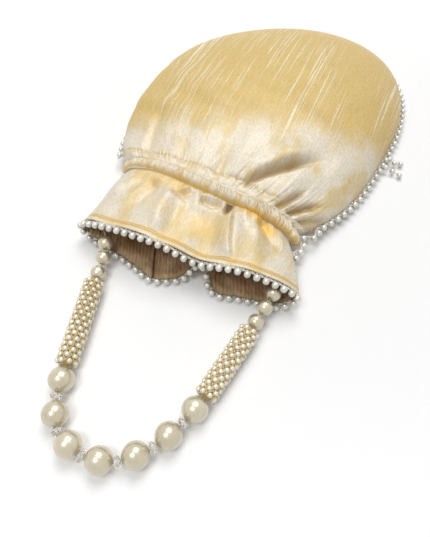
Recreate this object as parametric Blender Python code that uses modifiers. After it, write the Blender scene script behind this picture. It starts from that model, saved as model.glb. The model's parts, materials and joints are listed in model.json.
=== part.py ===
"""A potli: a round silk drawstring pouch lying on its back, with pearl trims and a handle of strung pearls.

Metres, +Z up. The origin is on the flat back, at the widest line of the pouch.
+Y runs to the rounded base, -Y to the mouth and the handle, +X to the right.
"""
import math

import bmesh
import bpy
import numpy as np
from mathutils import Vector

# The pouch, seen from above
BODY_HALF_WIDTH = 0.093
BASE_REACH = 0.1005
SHOULDER_LENGTH = 0.110
NECK_HALF_WIDTH = 0.058
NECK_SKEW = 0.004
RUFFLE_LENGTH = 0.0455
MOUTH_HALF_WIDTH = 0.0715
MOUTH_SKEW = 0.003
FRONT_RIM_BOW = 0.0045
RUFFLE_FLARE = 0.7
SHOULDER_FULLNESS = 2.3
SHOULDER_CURVE = 0.5
NECK_STRAIGHT_SHARE = 0.036
# Where the middle line lies: (y, x)
MIDDLE_LINE = (
    (-0.155, 0.0), (-0.110, -0.0072), (-0.060, -0.0045), (0.0, 0.0),
    (0.030, 0.0042), (0.060, 0.0105), (0.085, 0.0170), (0.1005, 0.0195),
)

# The pouch, seen from the side
BODY_HEIGHT = 0.041
NECK_HEIGHT = 0.028
SEAM_HEIGHT = 0.0065
NECK_SEAM_HEIGHT = 0.010
NECK_BACK_LIFT = 0.0045
CROWN_FULLNESS = 2.5
CROWN_CURVE = 0.55
FLAT_BACK_SHARE = 0.72
SIDE_OVERHANG = 0.003
SIDE_TUCK = 0.005
OVERHANG_SHARPNESS = 8

# The mouth: the back rim lies out on the table in two lobes, and stands up between them
MOUTH_LOBE_LIFT = 0.018
PINCH_X = 0.011
PINCH_DIP = 0.0075
PINCH_DIP_WIDTH = 0.016
PINCH_RISE = 0.0120
PINCH_WIDTH = 0.0065
RIM_BACK_LIFT = 0.0003
BACK_RIM_REACH = (
    (-0.0715, 0.0), (-0.065, 0.0022), (-0.039, 0.0083), (-0.027, 0.0118), (-0.016, 0.0155),
    (-0.006, 0.0128), (0.002, 0.0080), (0.0065, 0.0035), (0.0115, 0.0005), (0.016, 0.0030),
    (0.0200, 0.0080), (0.027, 0.0106), (0.036, 0.0088), (0.048, 0.0070), (0.062, 0.0050), (0.0715, 0.0),
)
RUFFLE_WAVE = 0.0012
RUFFLE_WAVES = 4

# The gathers on the shoulder of the pouch
GATHER_DEPTH = 0.0016
GATHER_COUNT = 5
GATHER_START = 0.012
GATHER_END = 0.060

# Cloth
PANEL_THICKNESS = 0.0010
LINING_THICKNESS = 0.0006
LINING_GAP_AT_RIM = 0.0010
LINING_GAP_IN_BODY = 0.0022
CLEARANCE = 0.0004
BACK_EDGE_DROP = 0.0014

# The gathered channel at the neck and the elastic in it
CASING_HALF_LENGTH = 0.007
CASING_ARCH = 0.0031
CASING_END_GAP = 0.0008
SEAM_ROOM = 0.0014
CASING_THICKNESS = 0.0008
CASING_RIPPLE = 0.0003
ELASTIC_HALF_LENGTH = 0.003
ELASTIC_THICKNESS = 0.0008
ELASTIC_LIFT = 0.0009

# Pearl trims: pearls on a crocheted thread
MOUTH_PEARL_RADIUS = 0.0022
MOUTH_PEARL_PITCH = 0.0056
SEAM_PEARL_RADIUS = 0.0020
SEAM_PEARL_PITCH = 0.0064
TRIM_THREAD_SHARE = 0.55
SEAM_TRIM_RUN_ON = 0.35
TAIL_PEARL_PITCH = 0.0046
TAILS = (
    ((0.0958, -0.0152, 0.0050), (0.0998, -0.0162, 0.0034), (0.1043, -0.0145, 0.0026)),
    ((0.0949, -0.0245, 0.0048), (0.0996, -0.0243, 0.0032), (0.1058, -0.0258, 0.0026)),
)

# The handle: one string with everything that is threaded on it
STRING_RADIUS = 0.0004
BORE_RADIUS = 0.0008
BEAD_GAP = 0.0005
FOLD_GAP = 0.0008
STRING_SPLIT = 0.0002
BIG_PEARL_RADIUS = 0.007
SIDE_PEARL_RADIUS = 0.0047
CRYSTAL_RADIUS = 0.0032
CRYSTAL_LENGTH = 0.0031
SLEEVE_LENGTH_LEFT = 0.0535
SLEEVE_LENGTH_RIGHT = 0.0455
SLEEVE_CORE_RADIUS = 0.0045
SLEEVE_PEARL_RADIUS = 0.0014
SLEEVE_PEARLS_ROUND = 8
SLEEVE_PEARL_ROWS = 17
ANCHOR_LENGTH_LEFT = 0.0150
ANCHOR_LENGTH_RIGHT = 0.0086
KNOT_RADIUS = 0.0019
BIG_PEARL_COUNT = 7

# Where the handle's string lies, by hand: from inside the mouth on the left, round, and back on the right.
# The points outside the mouth move out or in together until the string is as long as what it carries.
STRING_START = (-0.0627, -0.1502, 0.0116)
STRING_IN_MOUTH = (-0.0492, -0.1660, 0.0106)
STRING_LOOP = (
    (-0.0460, -0.1758, 0.0088),
    (-0.0442, -0.1855, 0.0068),
    (-0.0425, -0.1950, 0.0064),
    (-0.0345, -0.2230, 0.0066),
    (-0.0268, -0.2490, 0.0071),
    (-0.0203, -0.2658, 0.0071),
    (-0.0043, -0.2748, 0.0071),
    (0.0136, -0.2741, 0.0071),
    (0.0281, -0.2644, 0.0071),
    (0.0378, -0.2499, 0.0071),
    (0.0442, -0.2327, 0.0070),
    (0.0500, -0.2040, 0.0066),
    (0.0546, -0.1755, 0.0078),
)
STRING_BACK_IN = (
    (0.0562, -0.1665, 0.0100),
    (0.0580, -0.1570, 0.0114),
)
STRING_END = (0.0583, -0.1434, 0.0097)
LOOP_PIVOT_Y = -0.176

# How finely the cloth is divided
COLUMNS = 20
COLUMNS_AT_SEAMS = 1.3
COLUMNS_AT_PINCH = 1.5
PINCH_COLUMNS_WIDTH = 0.15
RUFFLE_ROWS = 5
SHOULDER_ROWS = 8
BASE_ROWS = 6
BACK_ROWS = (5, 6, 5)
LINING_ROWS = (5, 4, 3)
BAND_COLUMNS = 36
WELD = 1e-5

COLLECTION_NAME = "potli_bag"
FRONT, BACK = 1, -1


def clear_scene():
    """Remove what a new Blender file holds."""
    for obj in list(bpy.data.objects):
        bpy.data.objects.remove(obj, do_unlink=True)


def make_material(name, colour, roughness, metallic=0.0, transmission=0.0):
    """A Principled material with the given base colour."""
    material = bpy.data.materials.new(name)
    material.use_nodes = True
    shader = material.node_tree.nodes["Principled BSDF"]
    shader.inputs["Base Color"].default_value = (*colour, 1.0)
    shader.inputs["Roughness"].default_value = roughness
    shader.inputs["Metallic"].default_value = metallic
    shader.inputs["Transmission Weight"].default_value = transmission
    material.diffuse_color = (*colour, 1.0)
    return material


def ease(share):
    """0 to 1 with a level start and end."""
    share = min(max(share, 0.0), 1.0)
    return share * share * (3 - 2 * share)


def mix(a, b, share):
    return a + (b - a) * share


# The shape of the pouch. A place on it is u, from -1 at the left seam to 1 at the right one, and v along it:
# 0 at the mouth, 1 at the neck, 2 at the widest line and 3 at the base. Inset moves the surface inwards.


def neck_y(u):
    return -SHOULDER_LENGTH - NECK_SKEW * u


def half_width(v):
    """Half the width between the side seams, up to the widest line."""
    if v <= 1:
        flare = (1 - v) ** RUFFLE_FLARE
        return mix(NECK_HALF_WIDTH, MOUTH_HALF_WIDTH, flare)
    share = max(0.0, (min(v - 1, 1.0) - NECK_STRAIGHT_SHARE) / (1 - NECK_STRAIGHT_SHARE))
    swell = (1 - (1 - share) ** SHOULDER_FULLNESS) ** SHOULDER_CURVE
    return mix(NECK_HALF_WIDTH, BODY_HALF_WIDTH, swell)


def seam_height(v):
    return mix(NECK_SEAM_HEIGHT, SEAM_HEIGHT, ease((v - 1) * 2))


def crown_height(v):
    """Height of the front panel along its middle, from the neck to the base."""
    return mix(NECK_HEIGHT, BODY_HEIGHT, ease((v - 1) * 1.25))


def back_height(v):
    """Height of the back panel along its middle: it lies flat from the shoulder on."""
    return NECK_BACK_LIFT * (1 - ease((v - 1) * 4))


def hump(distance, width):
    return math.exp(-((distance / width) ** 2))


def through(stops, x):
    """A smooth curve through (x, value) stops."""
    last = len(stops) - 1
    i = min(max(sum(1 for stop in stops if stop[0] <= x) - 1, 0), last - 1)
    slopes = []
    for k in (i, i + 1):
        left, right = stops[max(k - 1, 0)], stops[min(k + 1, last)]
        slopes.append((right[1] - left[1]) / (right[0] - left[0]))
    (x0, y0), (x1, y1) = stops[i], stops[i + 1]
    width = x1 - x0
    t = min(max((x - x0) / width, 0.0), 1.0)
    return (y0 * (2 * t**3 - 3 * t**2 + 1) + slopes[0] * width * (t**3 - 2 * t**2 + t)
            + y1 * (3 * t**2 - 2 * t**3) + slopes[1] * width * (t**3 - t**2))


def front_rim(u):
    """The front edge of the mouth: (x, y, z)."""
    x = MOUTH_HALF_WIDTH * u
    y = -SHOULDER_LENGTH - RUFFLE_LENGTH + MOUTH_SKEW * u - FRONT_RIM_BOW * (1 - u * u)
    lift = MOUTH_LOBE_LIFT * crown_share(abs(u))
    return x, y, NECK_SEAM_HEIGHT + lift - PINCH_DIP * hump(x - PINCH_X, PINCH_DIP_WIDTH)


def back_rim(u):
    """The back edge of the mouth, further out on the table: (x, y, z)."""
    x = MOUTH_HALF_WIDTH * u
    y = -SHOULDER_LENGTH - RUFFLE_LENGTH + MOUTH_SKEW * u - through(BACK_RIM_REACH, x)
    low = mix(RIM_BACK_LIFT, NECK_SEAM_HEIGHT, abs(u) ** 9)
    return x, y, low + PINCH_RISE * hump(x - PINCH_X, PINCH_WIDTH)


def crown_share(rho):
    """1 on the middle of the panel and 0 at its seam."""
    return max(0.0, 1 - rho**CROWN_FULLNESS) ** CROWN_CURVE


def gathers(u, v):
    """Depth of the small pleats that run up from the neck into the body."""
    along = (v - 1) * SHOULDER_LENGTH
    fade = ease(along / GATHER_START) * (1 - ease((along - GATHER_START) / (GATHER_END - GATHER_START)))
    return GATHER_DEPTH * fade * math.cos(GATHER_COUNT * math.pi * u / 2) ** 2 * (1 - abs(u) ** 4)


def ruffle_wave(u, v):
    """Depth of the soft waves of the ruffle between the neck and the mouth."""
    return RUFFLE_WAVE * math.sin(math.pi * v) * math.cos(RUFFLE_WAVES * math.pi * u) * (1 - abs(u) ** 4)


def tuck(x, y):
    """How far the front panel hangs over its seam: 1 on the left side, fading to the neck and the base."""
    if x > 0:
        return 0.0
    return ease((y + SHOULDER_LENGTH) / 0.06) * (1 - ease((y - 0.03) / 0.06))


def ruffle_place(side, u, v):
    """A place on the ruffle, between the rim and the neck."""
    rim_x, rim_y, rim_z = front_rim(u) if side == FRONT else back_rim(u)
    if side == FRONT:
        neck_z = mix(NECK_SEAM_HEIGHT, NECK_HEIGHT, crown_share(abs(u)))
        z = mix(rim_z, neck_z, ease(v)) + ruffle_wave(u, v)
    else:
        neck_z = mix(NECK_BACK_LIFT, NECK_SEAM_HEIGHT, back_edge_share(abs(u)))
        z = mix(rim_z, neck_z, ease(v))
    middle = ease(v) * through(MIDDLE_LINE, -SHOULDER_LENGTH)
    return middle + half_width(v) * u, mix(rim_y, neck_y(u), v), z


def back_edge_share(rho):
    """0 where the back lies flat, rising to 1 at the seam."""
    return (max(0.0, rho - FLAT_BACK_SHARE) / (1 - FLAT_BACK_SHARE)) ** 2


def from_centre(u, v):
    """How far out a place on the body is: 0 on its middle line, and 1 at the seam."""
    turn = max(0.0, v - 2) * math.pi / 2
    return min(math.hypot(u * math.cos(turn), math.sin(turn)), 1.0)


def body_place(side, u, v, overhang):
    """A place on the body, from the neck to the base."""
    turn = max(0.0, v - 2) * math.pi / 2
    rho = from_centre(u, v)
    x = half_width(min(v, 2.0)) * u * math.cos(turn)
    y = BASE_REACH * math.sin(turn) if v > 2 else mix(neck_y(u), 0.0, v - 1)
    hang = tuck(x, y)
    outwards = Vector((x, max(y, 0.0)))
    outwards.normalize()
    pull = -SIDE_TUCK * hang * rho**4
    seam = seam_height(v)
    if side == FRONT:
        z = seam + (crown_height(v) - seam) * crown_share(rho) + overhang * gathers(u, v)
        pull += overhang * (SIDE_OVERHANG + SIDE_TUCK) * hang * math.sin(math.pi * rho**OVERHANG_SHARPNESS)
    else:
        z = mix(back_height(v), seam, back_edge_share(rho))
    return through(MIDDLE_LINE, y) + x + outwards.x * pull, y + outwards.y * pull, z


def place(side, u, v, overhang=1.0):
    """A place on the outside of the pouch: (x, y, z). The back panel stops below the front one's edge."""
    if v <= 1:
        x, y, z = ruffle_place(side, u, v)
        rho = abs(u)
    else:
        x, y, z = body_place(side, u, v, overhang)
        rho = from_centre(u, v)
    return x, y, max(0.0, z - BACK_EDGE_DROP * rho**8) if side == BACK else z


def column_table():
    """Places of the columns, closer together by the seams and round the pinch: (share from 0 to 1, u)."""
    u = np.linspace(-1, 1, 801)
    pinch = PINCH_X / MOUTH_HALF_WIDTH
    density = 0.55 + COLUMNS_AT_SEAMS * np.abs(u) ** 6
    density += COLUMNS_AT_PINCH * np.exp(-(((u - pinch) / PINCH_COLUMNS_WIDTH) ** 2))
    share = np.concatenate([[0], np.cumsum((density[1:] + density[:-1]) / 2)])
    return share / share[-1], u


def spread(share):
    """A column's u, for a share from -1 to 1."""
    shares, places = column_table()
    return float(np.interp((share + 1) / 2, shares, places))


def round_the_pouch(share, v, overhang=1.0):
    """A place on the outside for a share from -1 to 1, over the front from left to right, then back under it."""
    share = (share + 1) % 2 - 1
    if share <= 0:
        return Vector(place(FRONT, spread(2 * share + 1), v, overhang))
    return Vector(place(BACK, spread(1 - 2 * share), v, overhang))


def off_the_pouch(share, v, lift, overhang=1.0):
    """A place lifted off the outside of the pouch, square to its surface. A negative lift is inside it."""
    if v >= 3:
        return round_the_pouch(share, 3, overhang) + Vector((0, lift, 0))
    step = 0.01
    along = round_the_pouch(share, min(v + step, 2.99), overhang) - round_the_pouch(share, max(v - step, 0), overhang)
    around = round_the_pouch(share + step, v, overhang) - round_the_pouch(share - step, v, overhang)
    return round_the_pouch(share, v, overhang) + around.cross(along).normalized() * lift


def rows_between(start, stop, count):
    return [start + (stop - start) * i / count for i in range(count)]


def panel_rows(ruffle, shoulder, base):
    """Values of v for the rows of a panel, closer together by the neck."""
    straight = NECK_STRAIGHT_SHARE
    shoulders = [1 + straight + (1 - straight) * (i / (shoulder - 1)) ** 1.4 for i in range(shoulder - 1)]
    return rows_between(0, 1, ruffle) + [1] + shoulders + rows_between(2, 3, base) + [3]


def cloth(name, columns, rows, put, thickness, grow, material):
    """A sheet on a grid primitive: put(column share from -1 to 1, row) gives each place.

    The sheet then gets its thickness; grow is -1 to go against the grid's normals, and 1 to go along them.
    """
    mesh = bpy.data.meshes.new(name)
    grid = bmesh.new()
    bmesh.ops.create_grid(grid, x_segments=columns, y_segments=len(rows) - 1, size=1.0)
    for vertex in grid.verts:
        row = round((vertex.co.y + 1) / 2 * (len(rows) - 1))
        vertex.co = put(vertex.co.x, rows[row])
    bmesh.ops.remove_doubles(grid, verts=grid.verts, dist=WELD)
    grid.to_mesh(mesh)
    grid.free()
    mesh.shade_smooth()
    obj = add_object(name, mesh, material)
    solidify = obj.modifiers.new("thickness", "SOLIDIFY")
    solidify.thickness = thickness
    solidify.offset = grow
    return obj


def add_object(name, data, material, parent=None):
    obj = bpy.data.objects.new(name, data)
    data.materials.append(material)
    bpy.data.collections[COLLECTION_NAME].objects.link(obj)
    obj.parent = parent
    return obj


def make_front_panel(material):
    rows = panel_rows(RUFFLE_ROWS, SHOULDER_ROWS, BASE_ROWS)
    return cloth("front_panel", COLUMNS, rows,
                 lambda share, v: place(FRONT, spread(share), v), PANEL_THICKNESS, -1, material)


def make_back_panel(material):
    return cloth("back_panel", COLUMNS, panel_rows(*BACK_ROWS),
                 lambda share, v: place(BACK, spread(share), v), PANEL_THICKNESS, 1, material)


def lining_place(share, v):
    gap = mix(LINING_GAP_AT_RIM, LINING_GAP_IN_BODY, ease((v - 0.8) / 1.2))
    return off_the_pouch(share, v, -PANEL_THICKNESS - gap, overhang=0.0)


def make_lining(material):
    return cloth("lining", 2 * COLUMNS, panel_rows(*LINING_ROWS), lining_place,
                 LINING_THICKNESS, -1, material)


def neck_ring(share, along, lift):
    """A place round the outside of the neck, lifted off the panels; along is a length from the neck's middle."""
    v = 1 + along / (SHOULDER_LENGTH if along > 0 else RUFFLE_LENGTH)
    around = round_the_pouch(share + 0.01, v) - round_the_pouch(share - 0.01, v)
    point = round_the_pouch(share, v)
    off = point.x - (round_the_pouch(-1, v).x + round_the_pouch(0, v).x) / 2
    room = math.copysign(SEAM_ROOM * min(abs(off) / half_width(v), 1.0) ** 12, off)
    return point + around.cross(Vector((0, 1, 0))).normalized() * lift + Vector((room, 0, 0))


def casing_place(share, along):
    reach = min(abs(along) / CASING_HALF_LENGTH, 1.0)
    ripple = CASING_RIPPLE * math.cos(share * math.pi * BAND_COLUMNS / 2)
    lift = CASING_END_GAP + CASING_THICKNESS + (CASING_ARCH + ripple - CASING_THICKNESS) * (1 - reach**4)
    return neck_ring(share, along, lift)


def make_casing(material):
    rows = [CASING_HALF_LENGTH * share for share in (-1, -0.75, 0, 0.75, 1)]
    return cloth("neck_casing", BAND_COLUMNS, rows, casing_place, CASING_THICKNESS, -1, material)


def make_elastic(material):
    rows = [-ELASTIC_HALF_LENGTH, ELASTIC_HALF_LENGTH]
    return cloth("neck_elastic", BAND_COLUMNS, rows,
                 lambda share, along: neck_ring(share, along, ELASTIC_LIFT + ELASTIC_THICKNESS),
                 ELASTIC_THICKNESS, -1, material)


# Pearl trims


def spaced_points(line, pitch, closed):
    """Points evenly along a line, about pitch apart."""
    line = np.array(line)
    if closed:
        line = np.vstack([line, line[:1]])
    along = np.concatenate([[0], np.cumsum(np.linalg.norm(np.diff(line, axis=0), axis=1))])
    count = max(2, round(along[-1] / pitch))
    at = np.linspace(0, along[-1], count + 1)
    at = at[:-1] if closed else at
    return np.stack([np.interp(at, along, line[:, axis]) for axis in range(3)], axis=1)


def bead_chain(name, line, pitch, radius, rings_each, closed, material):
    """Pearls fused on their thread: a tube that swells to a pearl at each step along the line."""
    rings = spaced_points(line, pitch / rings_each, closed)
    whole = len(rings) - len(rings) % rings_each
    rings = spaced_points(line, pitch / rings_each * len(rings) / whole, closed)
    curve = bpy.data.curves.new(name, "CURVE")
    curve.dimensions = "3D"
    curve.bevel_depth = radius
    curve.bevel_resolution = 1
    curve.use_fill_caps = not closed
    spline = curve.splines.new("POLY")
    spline.points.add(len(rings) - 1)
    spline.use_cyclic_u = closed
    for i, (point, ring) in enumerate(zip(spline.points, rings)):
        point.co = (*ring, 1.0)
        point.radius = 1.0 if i % rings_each == 1 else TRIM_THREAD_SHARE
    return add_object(name, curve, material)


def mouth_line():
    """A line round the mouth, just past the edge of the cloth and in line with it."""
    points = []
    for share in np.linspace(-1, 1, 160, endpoint=False):
        edge = off_the_pouch(share, 0.0, -PANEL_THICKNESS / 2)
        out = edge - off_the_pouch(share, 0.15, -PANEL_THICKNESS / 2)
        along = (off_the_pouch(share + 0.01, 0.0, 0.0) - off_the_pouch(share - 0.01, 0.0, 0.0)).normalized()
        out = (out - along * out.dot(along)).normalized()
        point = edge + out * (MOUTH_PEARL_RADIUS + CLEARANCE)
        point.z = max(point.z, MOUTH_PEARL_RADIUS + CLEARANCE)
        points.append(point)
    return points


def seam_line():
    """The seam from the left side of the neck round the base and down the right side, past the panels' edges."""
    start = 1 + (CASING_HALF_LENGTH + SEAM_PEARL_RADIUS) / SHOULDER_LENGTH
    up = [(-1, v) for v in [*np.linspace(start, 2, 30, endpoint=False), *np.linspace(2, 3, 30, endpoint=False)]]
    down = [(1, v) for v in [*np.linspace(3, 2, 30, endpoint=False), *np.linspace(2, 1, 40, endpoint=False),
                             *np.linspace(1, 1 - SEAM_TRIM_RUN_ON, 12)]]
    points = []
    for u, v in up + down:
        edge = Vector(place(FRONT, u, v))
        along = v - 1
        over = abs(along) * (SHOULDER_LENGTH if along > 0 else RUFFLE_LENGTH) / (CASING_HALF_LENGTH + 0.007)
        casing = (CASING_ARCH + CASING_END_GAP + CASING_THICKNESS + SEAM_ROOM + 4 * CLEARANCE) * (1 - ease(over * 1.6 - 0.6))
        standoff = SEAM_PEARL_RADIUS + CLEARANCE + casing
        out = Vector((edge.x - through(MIDDLE_LINE, edge.y), max(edge.y, 0.0), 0.0)).normalized()
        points.append(edge + out * standoff - Vector((0, 0, BACK_EDGE_DROP / 2)))
    return points


def make_trims(material):
    bead_chain("mouth_trim", mouth_line(), MOUTH_PEARL_PITCH, MOUTH_PEARL_RADIUS, 3, True, material)
    bead_chain("seam_trim", seam_line(), SEAM_PEARL_PITCH, SEAM_PEARL_RADIUS, 2, False, material)
    for i, tail in enumerate(TAILS):
        bead_chain(f"trim_tail_{i + 1}", smooth_line(tail), TAIL_PEARL_PITCH, SEAM_PEARL_RADIUS, 3, False, material)


# The handle


def smooth_line(points, steps=24):
    """A smooth curve through the points, as a list of places close together."""
    points = [Vector(p) for p in points]
    ends = [2 * points[0] - points[1]] + points + [2 * points[-1] - points[-2]]
    line = []
    for a, b, c, d in zip(ends, ends[1:], ends[2:], ends[3:]):
        for step in range(steps):
            t = step / steps
            line.append(0.5 * ((2 * b) + (c - a) * t + (2 * a - 5 * b + 4 * c - d) * t**2
                               + (3 * b - a - 3 * c + d) * t**3))
    return line + [points[-1]]


def string_line(stretch):
    """The string's route, with its loop outside the mouth stretched along Y."""
    loop = [(x, LOOP_PIVOT_Y + (y - LOOP_PIVOT_Y) * stretch, z) for x, y, z in STRING_LOOP]
    return smooth_line([STRING_START, STRING_IN_MOUTH, *loop, *STRING_BACK_IN, STRING_END])


def walk(line, lengths):
    """Points on the line, each that straight distance from the one before. Also what is left of the line."""
    found = [line[0]]
    at = 0
    for length in lengths:
        while at < len(line) and (line[at] - found[-1]).length < length:
            at += 1
        if at == len(line):
            return found, -1.0
        near, far = line[at - 1], line[at]
        low, high = 0.0, 1.0
        for _ in range(40):
            middle = (low + high) / 2
            if (near.lerp(far, middle) - found[-1]).length < length:
                low = middle
            else:
                high = middle
        found.append(near.lerp(far, high))
    return found, (line[-1] - found[-1]).length


def threaded_beads():
    """(name, length, gap) of all that is threaded on the string, from the left knot to the right one."""
    side = 2 * SIDE_PEARL_RADIUS
    beads = [(f"side_pearl_left_{i}", side, FOLD_GAP) for i in (1, 2, 3)]
    beads.append(("pearl_sleeve_left", SLEEVE_LENGTH_LEFT, FOLD_GAP))
    for i in range(BIG_PEARL_COUNT):
        if i:
            beads.append((f"crystal_{i}", CRYSTAL_LENGTH, BEAD_GAP))
        beads.append((f"big_pearl_{i + 1}", 2 * BIG_PEARL_RADIUS, BEAD_GAP))
    beads.append(("pearl_sleeve_right", SLEEVE_LENGTH_RIGHT, FOLD_GAP))
    return beads + [(f"side_pearl_right_{i}", side, FOLD_GAP) for i in (3, 2, 1)]


def lay_out_handle():
    """Finds the stretch of the loop at which the string just carries its beads, and the points between beads."""
    lengths = [ANCHOR_LENGTH_LEFT] + [length + gap for _, length, gap in threaded_beads()]
    low, high = 0.3, 3.0
    for _ in range(40):
        stretch = (low + high) / 2
        if walk(string_line(stretch), lengths)[1] < ANCHOR_LENGTH_RIGHT:
            low = stretch
        else:
            high = stretch
    line = string_line(high)
    points = walk(line, lengths)[0]
    return points + [line[-1]]


def origin_of(parent):
    """Where a parent stands: the sum of the places up its chain."""
    place_of = Vector((0, 0, 0))
    while parent:
        place_of += parent.location
        parent = parent.parent
    return place_of


def turned_bead(name, profile, steps, start, end, parent, material, smooth=True):
    """A bead turned from a profile of (radius, height), lying between two points of the string."""
    mesh = bpy.data.meshes.new(name)
    edges = [(i, (i + 1) % len(profile)) for i in range(len(profile))]
    mesh.from_pydata([(r, 0.0, h) for r, h in profile], edges, [])
    obj = add_object(name, mesh, material, parent)
    screw = obj.modifiers.new("turned", "SCREW")
    screw.steps = screw.render_steps = steps
    screw.use_merge_vertices = True
    screw.merge_threshold = WELD
    screw.use_smooth_shade = smooth
    obj.rotation_mode = "QUATERNION"
    obj.rotation_quaternion = (end - start).to_track_quat("Z", "Y")
    obj.location = (start + end) / 2 - origin_of(parent)
    return obj


def pearl_profile(radius, arcs):
    """A sphere's outline from its top to its bottom, closed down the bore."""
    opening = math.asin(BORE_RADIUS / radius)
    angles = [opening + (math.pi - 2 * opening) * i / arcs for i in range(arcs + 1)]
    return [(radius * math.sin(a), radius * math.cos(a)) for a in angles]


def crystal_profile():
    """A faceted rondelle: a flat table round each end of the bore and a wide girdle."""
    half = CRYSTAL_LENGTH / 2
    table = CRYSTAL_RADIUS * 0.48
    return [(BORE_RADIUS, half), (table, half), (CRYSTAL_RADIUS, half * 0.22),
            (CRYSTAL_RADIUS, -half * 0.22), (table, -half), (BORE_RADIUS, -half)]


def make_sleeve(name, length, start, end, parent, material):
    """A sleeve netted from small pearls: a tube whose surface rises to a pearl at every other corner of its grid."""
    round_count = 2 * SLEEVE_PEARLS_ROUND
    rows = SLEEVE_PEARL_ROWS
    half = length / 2
    outline = [(BORE_RADIUS, -half), (SLEEVE_CORE_RADIUS, -half)]
    for i in range(rows):
        outline.append((SLEEVE_CORE_RADIUS + SLEEVE_PEARL_RADIUS, -half + length * (i + 1) / (rows + 1)))
    outline += [(SLEEVE_CORE_RADIUS, half), (BORE_RADIUS, half)]
    mesh = bpy.data.meshes.new(name)
    tube = bmesh.new()
    bmesh.ops.create_grid(tube, x_segments=round_count, y_segments=len(outline), size=1.0)
    for vertex in tube.verts:
        column = round((vertex.co.x + 1) / 2 * round_count)
        row = round((vertex.co.y + 1) / 2 * len(outline))
        radius, height = outline[row % len(outline)]
        if radius > SLEEVE_CORE_RADIUS and (row + column) % 2:
            radius = SLEEVE_CORE_RADIUS
        angle = 2 * math.pi * (column % round_count) / round_count
        vertex.co = (radius * math.cos(angle), radius * math.sin(angle), height)
    bmesh.ops.remove_doubles(tube, verts=tube.verts, dist=WELD)
    bmesh.ops.recalc_face_normals(tube, faces=tube.faces)
    tube.to_mesh(mesh)
    tube.free()
    mesh.shade_smooth()
    obj = add_object(name, mesh, material, parent)
    obj.rotation_mode = "QUATERNION"
    obj.rotation_quaternion = (end - start).to_track_quat("Z", "Y")
    obj.location = (start + end) / 2 - origin_of(parent)
    return obj


def make_string(name, points, parent, material):
    curve = bpy.data.curves.new(name, "CURVE")
    curve.dimensions = "3D"
    curve.bevel_depth = STRING_RADIUS
    curve.bevel_resolution = 1
    curve.use_fill_caps = True
    spline = curve.splines.new("POLY")
    spline.points.add(len(points) - 1)
    shift = origin_of(parent)
    for point, where in zip(spline.points, points):
        point.co = (*(where - shift), 1.0)
    return add_object(name, curve, material, parent)


def shortened(points, start, end):
    """The same line with its ends moved in by the given lengths."""
    points = [p.copy() for p in points]
    points[0] += (points[1] - points[0]).normalized() * start
    points[-1] += (points[-2] - points[-1]).normalized() * end
    return points


def make_knot(name, where, towards, material):
    """The knot that holds the string's end to the lining's side seam."""
    mesh = bpy.data.meshes.new(name)
    ball = bmesh.new()
    bmesh.ops.create_icosphere(ball, subdivisions=1, radius=KNOT_RADIUS)
    ball.to_mesh(mesh)
    ball.free()
    obj = add_object(name, mesh, material)
    obj.location = where - (towards - where).normalized() * (KNOT_RADIUS + CLEARANCE)
    return obj


def make_hinge(name, left, right, parent):
    """An empty on the axis through a gap between beads on the left and the like gap on the right."""
    hinge = bpy.data.objects.new(name, None)
    bpy.data.collections[COLLECTION_NAME].objects.link(hinge)
    hinge.parent = parent
    hinge.location = (left + right) / 2 - origin_of(parent)
    return hinge


def make_handle(pearl, crystal, netting, string):
    """Everything on the string. The handle folds at the gaps on both sides of its second and third side pearls."""
    points = lay_out_handle()
    beads = threaded_beads()
    carriers = [None]
    for fold in (1, 2, 3):
        carriers.append(make_hinge(f"fold_{fold}", points[1 + fold], points[-2 - fold], carriers[-1]))
    for i, (name, length, _) in enumerate(beads):
        start, end = points[i + 1], points[i + 2]
        parent = carriers[min(i, len(beads) - 1 - i, 3)]
        if name.startswith("crystal"):
            turned_bead(name, crystal_profile(), 8, start, end, parent, crystal, smooth=False)
        elif name.startswith("pearl_sleeve"):
            make_sleeve(name, length, start, end, parent, netting)
        elif name.startswith("big_pearl"):
            turned_bead(name, pearl_profile(BIG_PEARL_RADIUS, 7), 12, start, end, parent, pearl)
        else:
            turned_bead(name, pearl_profile(SIDE_PEARL_RADIUS, 5), 10, start, end, parent, pearl)
    make_string("anchor_string_left", shortened(points[:3], 0.0, STRING_SPLIT), None, string)
    make_string("anchor_string_right", shortened(points[-3:], STRING_SPLIT, 0.0), None, string)
    for fold in (1, 2):
        left, right = points[1 + fold:3 + fold], points[-3 - fold:len(points) - 1 - fold]
        make_string(f"link_string_left_{fold + 1}", shortened(left, STRING_SPLIT, STRING_SPLIT), carriers[fold], string)
        make_string(f"link_string_right_{fold + 1}", shortened(right, STRING_SPLIT, STRING_SPLIT), carriers[fold], string)
    loop = points[4:len(points) - 4]
    make_string("handle_string", shortened(loop, STRING_SPLIT, STRING_SPLIT), carriers[3], string)
    make_knot("anchor_knot_left", points[0], points[1], string)
    make_knot("anchor_knot_right", points[-1], points[-2], string)


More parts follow.
